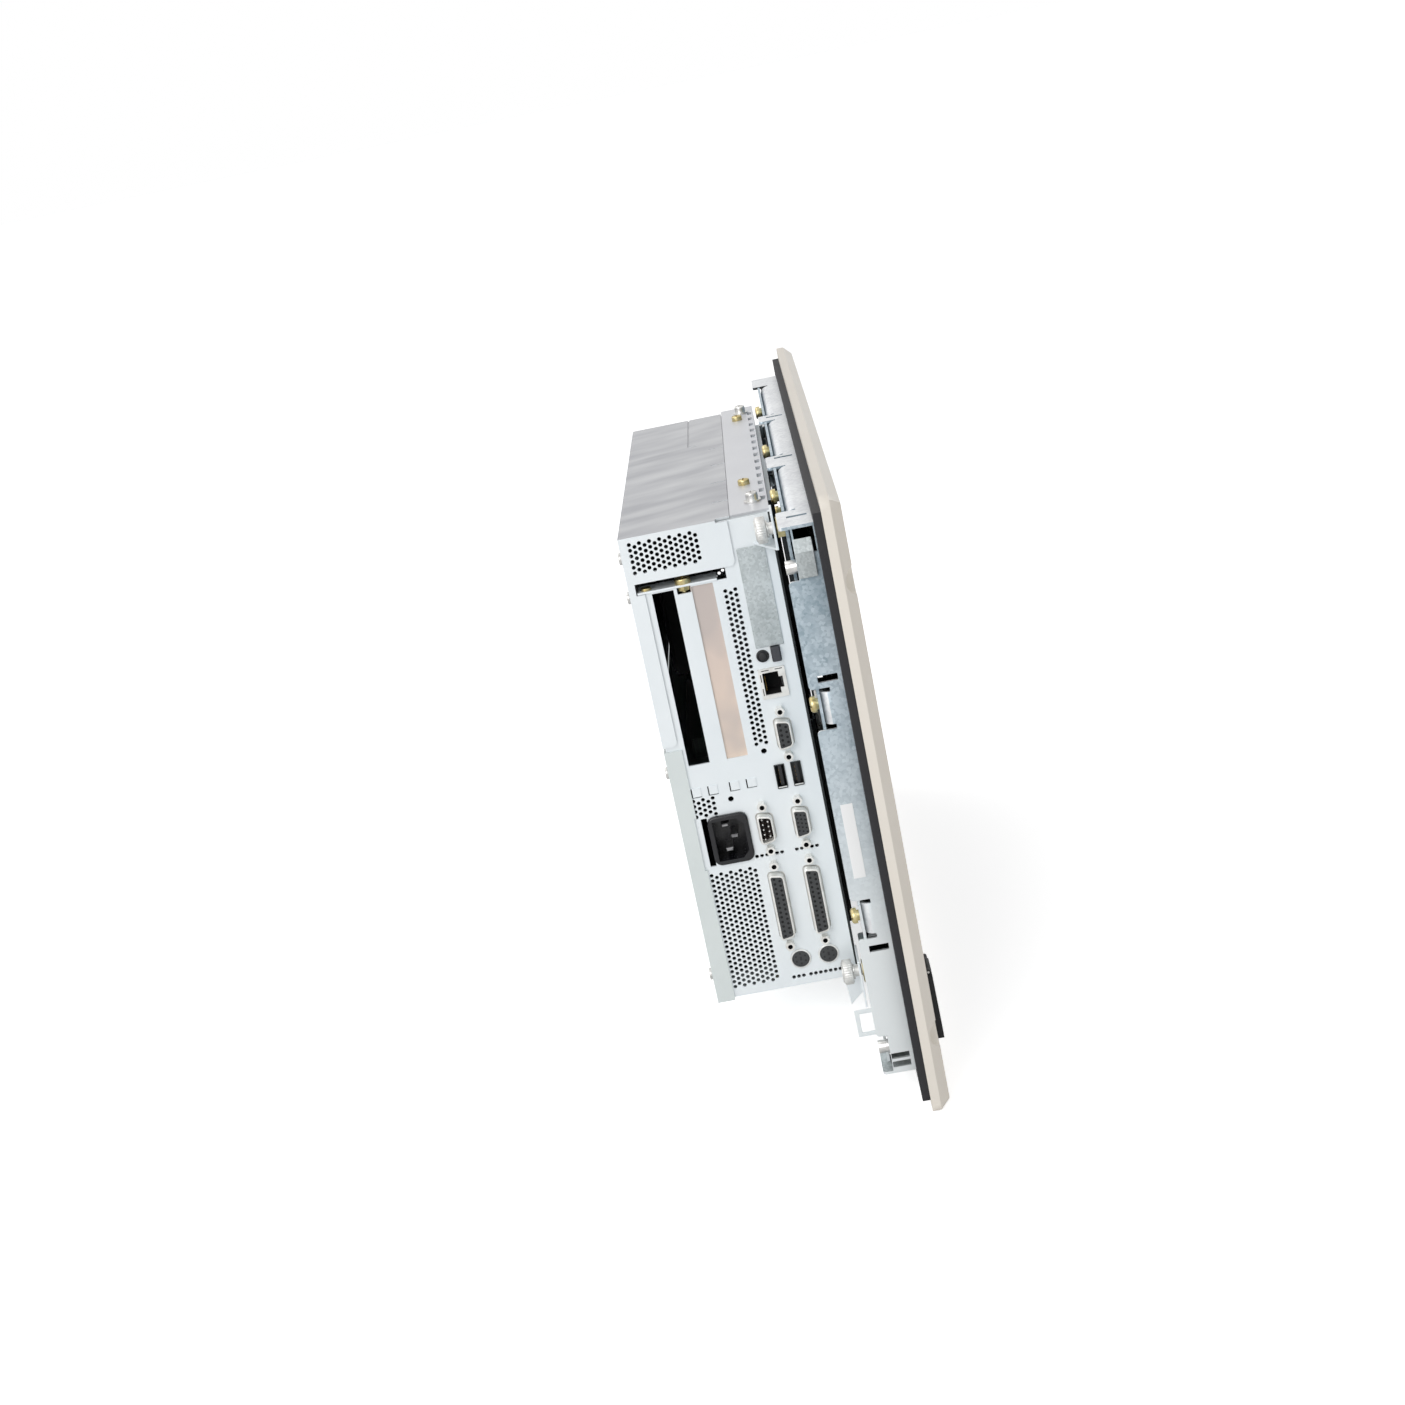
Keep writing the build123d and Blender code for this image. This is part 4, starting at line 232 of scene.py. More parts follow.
def clouded_sheet(name, top, bottom, cloud, low, high):
    """Thin blanking sheet: its tint is darker towards the top, under soft darker cloudy patches."""
    material, tree, shader, place = start_material(name, Metallic=0.3, Roughness=0.46)
    along = add_node(tree, "ShaderNodeSeparateXYZ", {0: place})
    fade = add_node(tree, "ShaderNodeMapRange", {"Value": along.outputs["Z"], "From Min": low * MM,
                                                 "From Max": high * MM})
    tint = add_node(tree, "ShaderNodeMix", {0: fade.outputs[0], 6: linear(bottom), 7: linear(top)},
                    data_type="RGBA")
    clouding = add_node(tree, "ShaderNodeTexNoise", {"Vector": place, "Scale": per_mm(24), "Detail": 1.5})
    spread = add_node(tree, "ShaderNodeMapRange", {"Value": clouding.outputs["Fac"], "From Min": 0.42,
                                                   "From Max": 0.68, "To Max": 0.75})
    tone = add_node(tree, "ShaderNodeMix", {0: spread.outputs[0], 6: tint.outputs[2], 7: linear(cloud)},
                    data_type="RGBA")
    tree.links.new(tone.outputs[2], shader.inputs["Base Color"])
    return material


def plated_metal(name, colour, tint, roughness=0.26, patch=3.0, metallic=1.0):
    """Electroplated small parts: bright metal whose tint drifts a little from patch to patch."""
    material, tree, shader, place = start_material(name, Metallic=metallic)
    drift = add_node(tree, "ShaderNodeTexNoise", {"Vector": place, "Scale": per_mm(patch), "Detail": 3.0})
    spread = add_node(tree, "ShaderNodeMapRange", {"Value": drift.outputs["Fac"], "From Min": 0.35,
                                                   "From Max": 0.65})
    tone = add_node(tree, "ShaderNodeMix", {0: spread.outputs[0], 6: linear(colour), 7: linear(tint)},
                    data_type="RGBA")
    tree.links.new(tone.outputs[2], shader.inputs["Base Color"])
    gloss = add_node(tree, "ShaderNodeMapRange", {"Value": drift.outputs["Fac"], "To Min": roughness - 0.05,
                                                  "To Max": roughness + 0.1})
    tree.links.new(gloss.outputs[0], shader.inputs["Roughness"])
    return material


def circuit_board(name, mask, trace, pitch=2.5):
    """Dark solder mask over copper, also kept near-black as painted shade inside the case: square-cornered
    traces show through as paler lines.
    """
    material, tree, shader, place = start_material(name, Roughness=0.35)
    cells = add_node(tree, "ShaderNodeTexBrick", {"Vector": place, "Scale": per_mm(pitch * 4),
                                                  "Mortar Size": 0.012, "Color1": linear(mask),
                                                  "Color2": linear(mask), "Mortar": linear(trace)})
    tree.links.new(cells.outputs["Color"], shader.inputs["Base Color"])
    return material


def smoked_glass(name, colour, roughness=0.04):
    """Float glass over a dark display: nearly black, with a clear hard reflection."""
    material, tree, shader, place = start_material(name, Base_Color=linear(colour))
    haze = add_node(tree, "ShaderNodeTexNoise", {"Vector": place, "Scale": per_mm(80), "Detail": 2.0})
    gloss = add_node(tree, "ShaderNodeMapRange", {"Value": haze.outputs["Fac"], "To Min": roughness,
                                                  "To Max": roughness + 0.05})
    tree.links.new(gloss.outputs[0], shader.inputs["Roughness"])
    return material


FINISHES = {}


def make_finishes():
    """Builds every finish once, from the colours in the sidebar."""
    tints = bpy.context.scene.panel_pc_colours
    FINISHES.update({
        "bezel": powder_coat("powder_coat_cream", tints.bezel, "#E0D9CE"),
        # A lighter copy of the bezel's coat for its top bevel and the walls of its rack recesses: painted
        # highlight.
        "bezel_painted_highlight": powder_coat("powder_coat_painted_highlight", "#FFFCF5", "#FAF4EA"),
        "gasket": moulded_plastic("nitrile_rubber", "#222226", roughness=0.7, grain=0.8, bump=0.4),
        # The frame's sheet turns pale towards the bottom: painted reflection.
        "frame": galvanised_sheet("galvanised_spangle", "#96A8B3", tints.galvanised, pale="#ECF1F2"),
        # A lighter copy of the frame's sheet for its top faces and ear bends: painted highlight.
        "frame_painted_highlight": galvanised_sheet("galvanised_painted_highlight", "#DCDEE1", "#F1F3F4", roughness=0.5),
        "cover_card": galvanised_sheet("galvanised_card_cover", "#AAB1B2", "#CDD3D4", spangle=1.2,
                                       roughness=0.5),
        "case": passivated_sheet("passivated_case_sheet", tints.case, "#E6ECEF"),
        "lower_case": passivated_sheet("passivated_lower_cover", "#DEE4E3", "#D4DBDA"),
        "strip": passivated_sheet("passivated_top_strip", "#D9DADD", "#CBCCD0", metallic=0.4),
        # The cover's top: a darker, streaked copy of its sheet, painted reflection.
        "cover": reflection_streaked_sheet("cover_top_painted_reflection", "#C4C5C7", "#A3A4A9"),
        # The cover's back: a darker plain copy of the same sheet, painted shade.
        "cover_back": passivated_sheet("cover_back_painted_shade", "#BDBEC1", "#B0B1B5", metallic=0.5),
        "blank": clouded_sheet("clouded_slot_blank", "#D3C3BC", "#EAD6C5", "#C3B9B4", 9.0, 104.0),
        "zinc": plated_metal("yellow_zinc_plate", "#D6CA9C", "#BBA873", roughness=0.3),
        "bright": plated_metal("bright_nickel_plate", "#DEDDDA", "#C2C1BF", roughness=0.3),
        "knurled": plated_metal("knurled_steel_screw", "#E6E5E2", "#CFCECB", roughness=0.42, metallic=0.6),
        "ring": plated_metal("plated_socket_ring", "#EFEFED", "#DADAD8", roughness=0.4, metallic=0.4),
        "tin": plated_metal("tinned_shell", "#F1F0EC", "#DDDBD6", roughness=0.38, patch=6.0, metallic=0.5),
        # Darker than plain nickel: painted shade of the deep cup.
        "pin_steel": plated_metal("nickel_inlet_blade", "#A3A3A4", "#7F7F81", roughness=0.4),
        "gold": plated_metal("gold_contact", "#B5965A", "#8A6C3A", roughness=0.34),
        "black": moulded_plastic("black_nylon", "#1B1C1F", roughness=0.42),
        # Near-black for the insides of holes, bores and slits: painted shade.
        "cavity": moulded_plastic("unlit_black_nylon", "#0A0A0B", roughness=0.85, bump=0.1),
        "gloss_black": moulded_plastic("gloss_black_inlet", "#17171B", roughness=0.24, grain=1.2, bump=0.08),
        "insert": moulded_plastic("dark_grey_insert", "#3A3B3C", roughness=0.55),
        "insert_brown": moulded_plastic("brown_black_insert", "#33251F", roughness=0.5),
        "button": moulded_plastic("grey_button", "#3C3D42", roughness=0.48),
        "white_plastic": moulded_plastic("white_tongue", "#E9E9E6", roughness=0.5),
        "flap": moulded_plastic("textured_flap", "#1E1E20", roughness=0.6, grain=0.9, bump=0.5),
        "label": moulded_plastic("polyester_label", "#FCFDFD", roughness=0.55, grain=1.5, bump=0.05),
        "foil": moulded_plastic("printed_foil", "#4B5057", roughness=0.58, grain=0.5, bump=0.3),
        "glass": smoked_glass("touch_glass_dark", "#0B0D10"),
        "display": moulded_plastic("display_black", "#101114", roughness=0.4),
        # Black mask, and near-black also as painted shade inside the case.
        "board": circuit_board("black_mask_painted_shade_board", "#0D1613", "#1E3329"),
        "aluminium": plated_metal("milled_aluminium", "#C9CCCF", "#B2B6BA", roughness=0.36, patch=10.0),
        # The disk is near-black: painted shade inside the open slot.
        "drive": moulded_plastic("drive_painted_shade", "#161719", roughness=0.6, grain=0.6),
        # Near-black steel for places in shade: painted shade.
        "dark": moulded_plastic("shadowed_steel", "#2A2D2F", roughness=0.6),
    })


def dress(finish, *names):
    """Gives carried-over nodes one finish."""
    for name in names:
        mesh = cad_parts[name].data
        mesh.materials.clear()
        mesh.materials.append(FINISHES[finish])


def redress(name, finish, chosen):
    """Gives another finish to the faces of a carried-over node whose normal and middle pass a test."""
    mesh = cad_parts[name].data
    mesh.materials.append(FINISHES[finish])
    for polygon in mesh.polygons:
        if chosen(polygon.normal, polygon.center / MM):
            polygon.material_index = len(mesh.materials) - 1


def soften(width, *names, angle=35.0, segments=2):
    """Rounds the hard edges of carried-over nodes, as folded and machined edges are."""
    for name in names:
        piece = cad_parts[name]
        weld = piece.modifiers.new("weld", "WELD")
        weld.merge_threshold = 0.002 * MM
        bevel = piece.modifiers.new("edges", "BEVEL")
        bevel.width = width * MM
        bevel.segments = segments
        bevel.limit_method = "ANGLE"
        bevel.angle_limit = math.radians(angle)
        bevel.use_clamp_overlap = True


# Mesh helpers

def finish_piece(name, bm, finishes, body, replaced=(), sharp=32.0):
    """Turns a bmesh drawn in millimetres into a piece that rides on a body."""
    bmesh.ops.remove_doubles(bm, verts=bm.verts, dist=0.0005)
    bmesh.ops.recalc_face_normals(bm, faces=bm.faces)
    bmesh.ops.scale(bm, vec=(MM, MM, MM), verts=bm.verts)
    limit = math.radians(sharp)
    for face in bm.faces:
        face.smooth = True
    for edge in bm.edges:
        edge.smooth = len(edge.link_faces) == 2 and edge.calc_face_angle(0.0) < limit
    mesh = bpy.data.meshes.new(name)
    bm.to_mesh(mesh)
    bm.free()
    for finish in finishes:
        mesh.materials.append(FINISHES[finish])
    piece = bpy.data.objects.new(name, mesh)
    bpy.context.scene.collection.objects.link(piece)
    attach(piece, body)
    if replaced:
        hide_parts(*replaced)
    return piece


def add_block(bm, low, high, edge=0.0, material=0, segments=2):
    """A box between two corners, with rounded edges."""
    middle = (Vector(low) + Vector(high)) / 2
    size = Vector(high) - Vector(low)
    place = Matrix.Translation(middle) @ Matrix.Diagonal((*size, 1.0))
    verts = bmesh.ops.create_cube(bm, size=1.0, matrix=place)["verts"]
    faces = {face for vert in verts for face in vert.link_faces}
    for face in faces:
        face.material_index = material
    if edge:
        edges = list({e for vert in verts for e in vert.link_edges})
        bmesh.ops.bevel(bm, geom=edges, offset=edge, segments=segments, profile=0.5, affect="EDGES",
                        material=-1)


def add_rod(bm, radius, x0, x1, y, z, edge=0.0, sides=24):
    """A round bar along X, its end at x0 rounded."""
    turn = Matrix.Rotation(math.radians(-90), 4, "Y")
    place = Matrix.Translation(((x0 + x1) / 2, y, z)) @ turn
    made = bmesh.ops.create_cone(bm, cap_ends=True, cap_tris=False, segments=sides, radius1=radius,
                                 radius2=radius, depth=abs(x1 - x0), matrix=place)
    if edge:
        rims = list({e for v in made["verts"] for e in v.link_edges
                     if all(abs(w.co.x - x0) < NEAR for w in e.verts)})
        bmesh.ops.bevel(bm, geom=rims, offset=edge, segments=3, profile=0.5, affect="EDGES", material=-1)


def rectangle(half_y, half_z):
    """Corner offsets in Y and Z of a rectangle."""
    return [(-half_y, -half_z), (-half_y, half_z), (half_y, half_z), (half_y, -half_z)]


def side_outline(bm, x, y, z, corners, radius, segments=6):
    """A face across X from corner offsets in Y and Z, its corners rounded."""
    verts = [bm.verts.new((x, y + dy, z + dz)) for dy, dz in corners]
    face = bm.faces.new(verts)
    if radius:
        made = bmesh.ops.bevel(bm, geom=verts, offset=radius, segments=segments, profile=0.5,
                               affect="VERTICES", material=-1)
        face = max({f for v in made["verts"] for f in v.link_faces}, key=lambda f: f.calc_area())
    return turn_outwards(face)


def turn_outwards(face):
    """Makes a face across X look towards the plugs."""
    face.normal_update()
    if face.normal.x > 0:
        face.normal_flip()
    return face


def pull(bm, face, distance):
    """Extrudes a face along X and returns the moved face."""
    made = bmesh.ops.extrude_face_region(bm, geom=[face])
    moved = [item for item in made["geom"] if isinstance(item, bmesh.types.BMFace)][0]
    bmesh.ops.translate(bm, vec=(distance, 0.0, 0.0), verts=moved.verts)
    if face.is_valid:
        bmesh.ops.delete(bm, geom=[face], context="FACES_ONLY")
    return moved


def front_cap(bm, x, y=None):
    """The largest face of a plane across X, also the one that lies about a given Y."""
    caps = [face for face in bm.faces if abs(face.calc_center_median().x - x) < 10 * NEAR
            and (y is None or abs(face.calc_center_median().y - y) < 1)]
    return max(caps, key=lambda face: face.calc_area())


def shrink(bm, face, amount):
    """Insets a face and returns the inner one."""
    bmesh.ops.inset_region(bm, faces=[face], thickness=amount, use_even_offset=True, use_boundary=True)
    return face


def turned(bm, axis, centre, profile, sides=32):
    """A turned solid: each profile row is its place along the axis, its radius and its groove depth."""
    rings = []
    for along, radius, groove in profile:
        ring = []
        for i in range(sides):
            reach = radius - groove * (i % 2)
            across = (reach * math.cos(math.tau * i / sides), reach * math.sin(math.tau * i / sides))
            place = (along, *across) if axis == "X" else (across[0], along, across[1])
            ring.append(bm.verts.new(Vector(centre) + Vector(place)))
        rings.append(ring)
    for ring in (rings[0], rings[-1]):
        bm.faces.new(ring)
    for low, high in zip(rings, rings[1:]):
        for i in range(sides):
            bm.faces.new((low[i], low[i - 1], high[i - 1], high[i]))


# Connectors

def trapezoid_corners(length, width, slant):
    """Corner offsets in Y and Z of a trapezoid shell, its long side towards +Y."""
    return [(-width / 2, -length / 2 + slant), (-width / 2, length / 2 - slant),
            (width / 2, length / 2), (width / 2, -length / 2)]


def contact_places(layout):
    """Contact offsets in Y and Z: three dense rows, or two rows of which one has a contact less."""
    if layout == "fifteen":
        row_pitch, pitch, stagger = 1.98, 2.29, 0.57
        return [((row - 1) * row_pitch, (i - 2) * pitch + (row - 1) * stagger)
                for row in range(3) for i in range(5)]
    row_offset, pitch = 1.42, 2.76
    counts = (13, 12) if layout == "long" else (5, 4)
    return [(y, (i - (count - 1) / 2) * pitch)
            for count, y in zip(counts, (row_offset, -row_offset)) for i in range(count)]


def trapezoid_connector(node, y, z, length, pitch, layout, sizes):
    """One shielded connector: flanged shell with a rolled lip, insert and contacts."""
    male = layout == "pins"
    rim = PORT_FACE - sizes.shell_proud / MM
    lip = sizes.shell_lip / MM
    width, slant, corner, roll = 8.2, 1.4, 2.2, 0.6
    well = 4.6 if male else 1.1
    bm = bmesh.new()
    face = side_outline(bm, PLATE_BACK, y, z, trapezoid_corners(length, width, slant), corner)
    face = pull(bm, face, rim - PLATE_BACK)
    bmesh.ops.bevel(bm, geom=list(face.edges), offset=roll, segments=4, profile=0.5, affect="EDGES",
                    material=-1)
    face = shrink(bm, front_cap(bm, rim), lip - roll)
    pull(bm, face, well)
    finish_piece(node + "_shell", bm, ["tin"], "computing_unit")

    bm = bmesh.new()
    floor = PORT_FACE - 0.4 if male else rim + 0.55
    overlap, insert_corner = 0.1, 1.7
    corners = trapezoid_corners(length - 2 * lip + overlap, width - 2 * lip + overlap, slant - overlap)
    face = side_outline(bm, PLATE_BACK, y, z, corners, insert_corner)
    pull(bm, face, floor - PLATE_BACK)
    finish_piece(node + "_insert", bm, ["insert_brown" if male else "insert"], "computing_unit")

    bm = bmesh.new()
    pin_radius, pin_inset, pin_root = 0.5, 0.9, 0.5
    hole_radius = 0.52 if layout == "fifteen" else 0.72
    hole_proud, hole_depth = 0.02, 0.3
    for dy, dz in contact_places(layout):
        if male:
            add_rod(bm, pin_radius, rim + pin_inset, floor + pin_root, y + dy, z + dz, edge=0.25, sides=12)
        else:
            add_rod(bm, hole_radius, floor - hole_proud, floor + hole_depth, y + dy, z + dz, sides=12)
    # For a socket, the contacts are near-black discs just proud of the insert: painted shade of their holes.
    finish_piece(node + "_contacts", bm, ["bright" if male else "cavity"], "computing_unit")

    bm = bmesh.new()
    flange_end, flange_half, flange_gap = 3.0, 6.2, 0.02
    flange_back = PLATE_BACK + 0.8
    body_low, body_high, body_depth, body_inset = 3.0, 3.1, 10.0, 1.0
    half = pitch / 2 + flange_end
    add_block(bm, (PLATE_BACK + flange_gap, y - flange_half, z - half),
              (flange_back, y + flange_half, z + half), edge=0.2)
    half = length / 2 - body_inset
    add_block(bm, (flange_back, y - body_low, z - half),
              (flange_back + body_depth, y + body_high, z + half), edge=0.3, material=1)
    finish_piece(node + "_back", bm, ["tin", "black"], "computing_unit", replaced=[node])


def network_socket():
    """Shielded network socket: sheet shield, black stepped cavity and eight gold contacts."""
    front, back, sheet = -139.6, -119.3, 1.2
    y0, y1, z0, z1 = 31.1, 44.9, 37.8, 54.0
    half_y, half_z = (y1 - y0) / 2, (z1 - z0) / 2
    cavity_low, cavity_high, cavity_z0, cavity_z1 = 34.9, 43.1, 39.95, 51.85
    latch_low, latch_z0, latch_z1 = 32.9, 42.9, 48.9
    bm = bmesh.new()
    face = side_outline(bm, back, y0 + half_y, z0 + half_z, rectangle(half_y, half_z), 0.5, segments=2)
    face = pull(bm, face, front - back)
    inner = [(cavity_low, cavity_z0), (cavity_high, cavity_z0), (cavity_high, cavity_z1),
             (cavity_low, cavity_z1), (cavity_low, latch_z1), (latch_low, latch_z1),
             (latch_low, latch_z0), (cavity_low, latch_z0)]
    verts = [bm.verts.new((front, y, z)) for y, z in inner]
    edges = [bm.edges.new((a, b)) for a, b in zip(verts, verts[1:] + verts[:1])]
    outline = list(face.edges)
    bmesh.ops.delete(bm, geom=[face], context="FACES_ONLY")
    bmesh.ops.triangle_fill(bm, use_beauty=True, edges=outline + edges)
    made = bmesh.ops.extrude_edge_only(bm, edges=edges)
    moved = [item for item in made["geom"] if isinstance(item, bmesh.types.BMVert)]
    bmesh.ops.translate(bm, vec=(sheet, 0.0, 0.0), verts=moved)
    finish_piece("network_shield", bm, ["tin"], "computing_unit")

    bm = bmesh.new()
    cavity_front, cavity_depth = front + 1.0, 11.0
    face = bm.faces.new([bm.verts.new((cavity_front, y, z)) for y, z in inner])
    pull(bm, turn_outwards(face), cavity_depth)
    finish_piece("network_cavity", bm, ["cavity"], "computing_unit")

    bm = bmesh.new()
    contact_pitch, contact_half, contact_low, contact_high = 1.02, 0.2, 41.9, 42.3
    contact_start, contact_end = front + 1.6, front + 9.5
    for index in range(8):
        z = (cavity_z0 + cavity_z1) / 2 + (index - 3.5) * contact_pitch
        add_block(bm, (contact_start, contact_low, z - contact_half),
                  (contact_end, contact_high, z + contact_half), edge=0.06)
    finish_piece("network_contacts", bm, ["gold"], "computing_unit")

    # Near-black dashes just proud of the shield: painted shade of the slits beside its spring tabs.
    bm = bmesh.new()
    slit_start, slit_end = front - 0.02, front + 0.3
    slit_length, slit_near, slit_far = 4.0, 0.6, 1.15
    for low in (y0 + 1.2, y0 + 8.2):
        add_block(bm, (slit_start, low, z1 - slit_far),
                  (slit_end, low + slit_length, z1 - slit_near), edge=0.1)
    for low in (z0 + 2.0, z0 + 9.5):
        add_block(bm, (slit_start, y1 - slit_far, low),
                  (slit_end, y1 - slit_near, low + slit_length), edge=0.1)
    finish_piece("network_spring_slits", bm, ["cavity"], "computing_unit")

    bm = bmesh.new()
    foot_high, foot_inset = 34.0, 0.1
    add_block(bm, (PLATE_BACK, BOARD_REAR, z0 + foot_inset), (back, foot_high, z1 - foot_inset), edge=0.2)
    finish_piece("network_foot", bm, ["black"], "computing_unit", replaced=["network_socket"])


def bus_sockets():
    """Two stacked bus sockets: thin shields, black inside, pale tongues."""
    front, back, middle = -139.3, -123.2, -5.4
    half_y, half_z, sheet, depth = 2.7, 6.65, 0.35, 9.0
    tongue_start, tongue_end, tongue_below, tongue_above = 1.2, 8.9, 1.2, 0.7
    tongue_low_z, tongue_high_z = -10.6, 0.4
    rim_start, rim_end, rim_half, rim_low, rim_high = 0.1, 0.9, 2.3, -11.6, -11.1
    contact_start, contact_end, contact_low, contact_high = 1.6, 8.0, 0.68, 0.82
    contact_half, contact_pitch = 0.5, 2.2
    for label, y in (("lower", 35.2), ("upper", 43.9)):
        bm = bmesh.new()
        face = side_outline(bm, back, y, middle, rectangle(half_y, half_z), 0.4, segments=2)
        face = pull(bm, face, front - back)
        face = shrink(bm, face, sheet)
        pull(bm, face, depth)
        # The shield takes the near-black shadowed steel: painted shade inside the socket.
        finish_piece(f"bus_{label}_shield", bm, ["dark"], "computing_unit")
        bm = bmesh.new()
        add_block(bm, (front + tongue_start, y - tongue_below, tongue_low_z),
                  (front + tongue_end, y + tongue_above, tongue_high_z), edge=0.15)
        add_block(bm, (front + rim_start, y - rim_half, rim_low), (front + rim_end, y + rim_half, rim_high),
                  edge=0.1, material=1)
        finish_piece(f"bus_{label}_tongue", bm, ["black", "white_plastic"], "computing_unit")
        bm = bmesh.new()
        for index in range(4):
            z = middle + (index - 1.5) * contact_pitch
            add_block(bm, (front + contact_start, y + contact_low, z - contact_half),
                      (front + contact_end, y + contact_high, z + contact_half), edge=0.04)
        finish_piece(f"bus_{label}_contacts", bm, ["gold"], "computing_unit")
    bm = bmesh.new()
    base_front, base_high, base_low_z, base_high_z = -136.6, 41.2, -12.0, 1.2
    add_block(bm, (base_front, BOARD_REAR, base_low_z), (back, base_high, base_high_z), edge=0.2)
    finish_piece("bus_base", bm, ["black"], "computing_unit", replaced=["bus_sockets"])


def round_sockets():
    """Keyboard and mouse sockets: pale rings round dark six-hole faces."""
    front, z = -139.4, -110.0
    ring_radius, ring_wall, ring_depth = 5.6, 0.35, 0.9
    face_radius, face_start, face_root = 4.8, front + 0.55, PLATE_BACK + 0.3
    hole_radius, hole_circle, hole_start, hole_end = 0.58, 2.9, front + 0.5, front + 0.8
    bm = bmesh.new()
    bm_face = bmesh.new()
    bm_hole = bmesh.new()
    for y in (37.5, 52.7):
        add_rod(bm, ring_radius, front, PLATE_BACK, y, z, edge=0.45, sides=48)
        pull(bm, shrink(bm, front_cap(bm, front, y), ring_wall), ring_depth)
        add_rod(bm_face, face_radius, face_start, face_root, y, z, edge=0.2, sides=40)
        for index in range(6):
            angle = math.radians(30 + 60 * index)
            add_rod(bm_hole, hole_radius, hole_start, hole_end, y + hole_circle * math.cos(angle),
                    z + hole_circle * math.sin(angle), sides=12)
        for y0, y1, half in ((-0.6, 0.6, 1.1), (4.0, 5.0, 0.8)):
            add_block(bm_hole, (hole_start, y + y0, z - half), (hole_end, y + y1, z + half), edge=0.1)
    finish_piece("round_rings", bm, ["ring"], "computing_unit")
    finish_piece("round_faces", bm_face, ["insert"], "computing_unit")
    # The holes and key slots are black discs and bars just proud of the faces: painted shade.
    finish_piece("round_holes", bm_hole, ["black"], "computing_unit")
    bm = bmesh.new()
    housing_back, housing_high, housing_half = -124.2, 59.2, 6.5
    add_block(bm, (face_root, BOARD_REAR, z - housing_half), (housing_back, housing_high, z + housing_half),
              edge=0.4)
    finish_piece("round_housing", bm, ["black"], "computing_unit", replaced=["round_sockets"])


def mains_inlet():
    """Mains inlet: rounded glossy flange, raised lip and the chamfered cup."""
    y, z = 76.2, -34.4
    face_x, roll, cup_depth = -140.5, 1.1, 16.0
    half_y, half_z, corner = 10.8, 13.9, 4.2
    bm = bmesh.new()
    face = side_outline(bm, PORT_FACE, y, z, rectangle(half_y, half_z), corner)
    face = pull(bm, face, face_x - PORT_FACE)
    bmesh.ops.bevel(bm, geom=list(face.edges), offset=roll, segments=5, profile=0.5, affect="EDGES",
                    material=-1)
    bmesh.ops.delete(bm, geom=[front_cap(bm, face_x)], context="FACES_ONLY")
    ring = [e for e in bm.edges if e.is_boundary and abs(e.verts[0].co.x - face_x) < 10 * NEAR]
    cup_low, cup_high, cup_half, chamfer_low, chamfer_half = -4.7, 8.3, 11.3, -8.3, 7.7
    cup = [(cup_low, -cup_half), (cup_high, -cup_half), (cup_high, cup_half), (cup_low, cup_half),
           (chamfer_low, chamfer_half), (chamfer_low, -chamfer_half)]
    verts = [bm.verts.new((face_x, y + dy, z + dz)) for dy, dz in cup]
    edges = [bm.edges.new((a, b)) for a, b in zip(verts, verts[1:] + verts[:1])]
    bmesh.ops.triangle_fill(bm, use_beauty=True, edges=ring + edges)
    made = bmesh.ops.extrude_edge_only(bm, edges=edges)
    moved = [item for item in made["geom"] if isinstance(item, bmesh.types.BMVert)]
    bmesh.ops.translate(bm, vec=(cup_depth, 0.0, 0.0), verts=moved)
    floor = [item for item in made["geom"] if isinstance(item, bmesh.types.BMEdge)]
    bmesh.ops.contextual_create(bm, geom=floor)
    finish_piece("inlet_cup", bm, ["gloss_black"], "computing_unit")
    bm = bmesh.new()
    body_back, body_half_y, body_half_z = -117.2, 9.8, 12.8
    add_block(bm, (PORT_FACE, y - body_half_y, z - body_half_z),
              (body_back, y + body_half_y, z + body_half_z), edge=0.4)
    cap = min(bm.faces, key=lambda f: f.calc_center_median().x)
    bmesh.ops.delete(bm, geom=[cap], context="FACES_ONLY")
    finish_piece("inlet_body", bm, ["black"], "computing_unit", replaced=["mains_inlet"])


# The thumbscrews: their axis in X, their places in Z, and rows of Y, radius and groove depth.
THUMBSCREW_X = -150.0
THUMBSCREWS = (("upper", 128.6), ("lower", -117.4))
THUMBSCREW_PROFILE = (
    (21.6, 2.8, 0.0), (22.0, 3.2, 0.0), (26.45, 3.2, 0.0), (26.45, 5.9, 0.0), (26.75, 6.55, 0.2),
    (27.05, 6.85, 0.3), (31.05, 6.85, 0.3), (31.4, 6.5, 0.2), (31.65, 5.9, 0.0), (31.65, 5.4, 0.0),
    (32.05, 5.4, 0.0), (32.25, 5.1, 0.0))


def thumbscrew(label, z):
    """Knurled thumbscrew: fine straight knurls, rounded shoulders, a low cap and the plain shank."""
    bm = bmesh.new()
    turned(bm, "Y", (THUMBSCREW_X, 0.0, z), THUMBSCREW_PROFILE, sides=72)
    finish_piece(f"thumbscrew_{label}_knob", bm, ["knurled"], f"thumbscrew_{label}",
                 replaced=[f"thumbscrew_{label}"], sharp=40.0)


# The round button: its place in Y and Z, and rows of X, radius and groove depth.
RESET_PLACE = (40.9, 60.8)
RESET_PROFILE = (
    (-131.2, 3.1, 0.0), (-139.3, 3.1, 0.0), (-139.6, 2.95, 0.0), (-139.7, 2.7, 0.0), (-139.6, 2.5, 0.0),
    (-139.1, 2.4, 0.0), (-139.1, 2.2, 0.0), (-139.55, 2.05, 0.0), (-139.75, 1.5, 0.0), (-139.8, 0.6, 0.0))


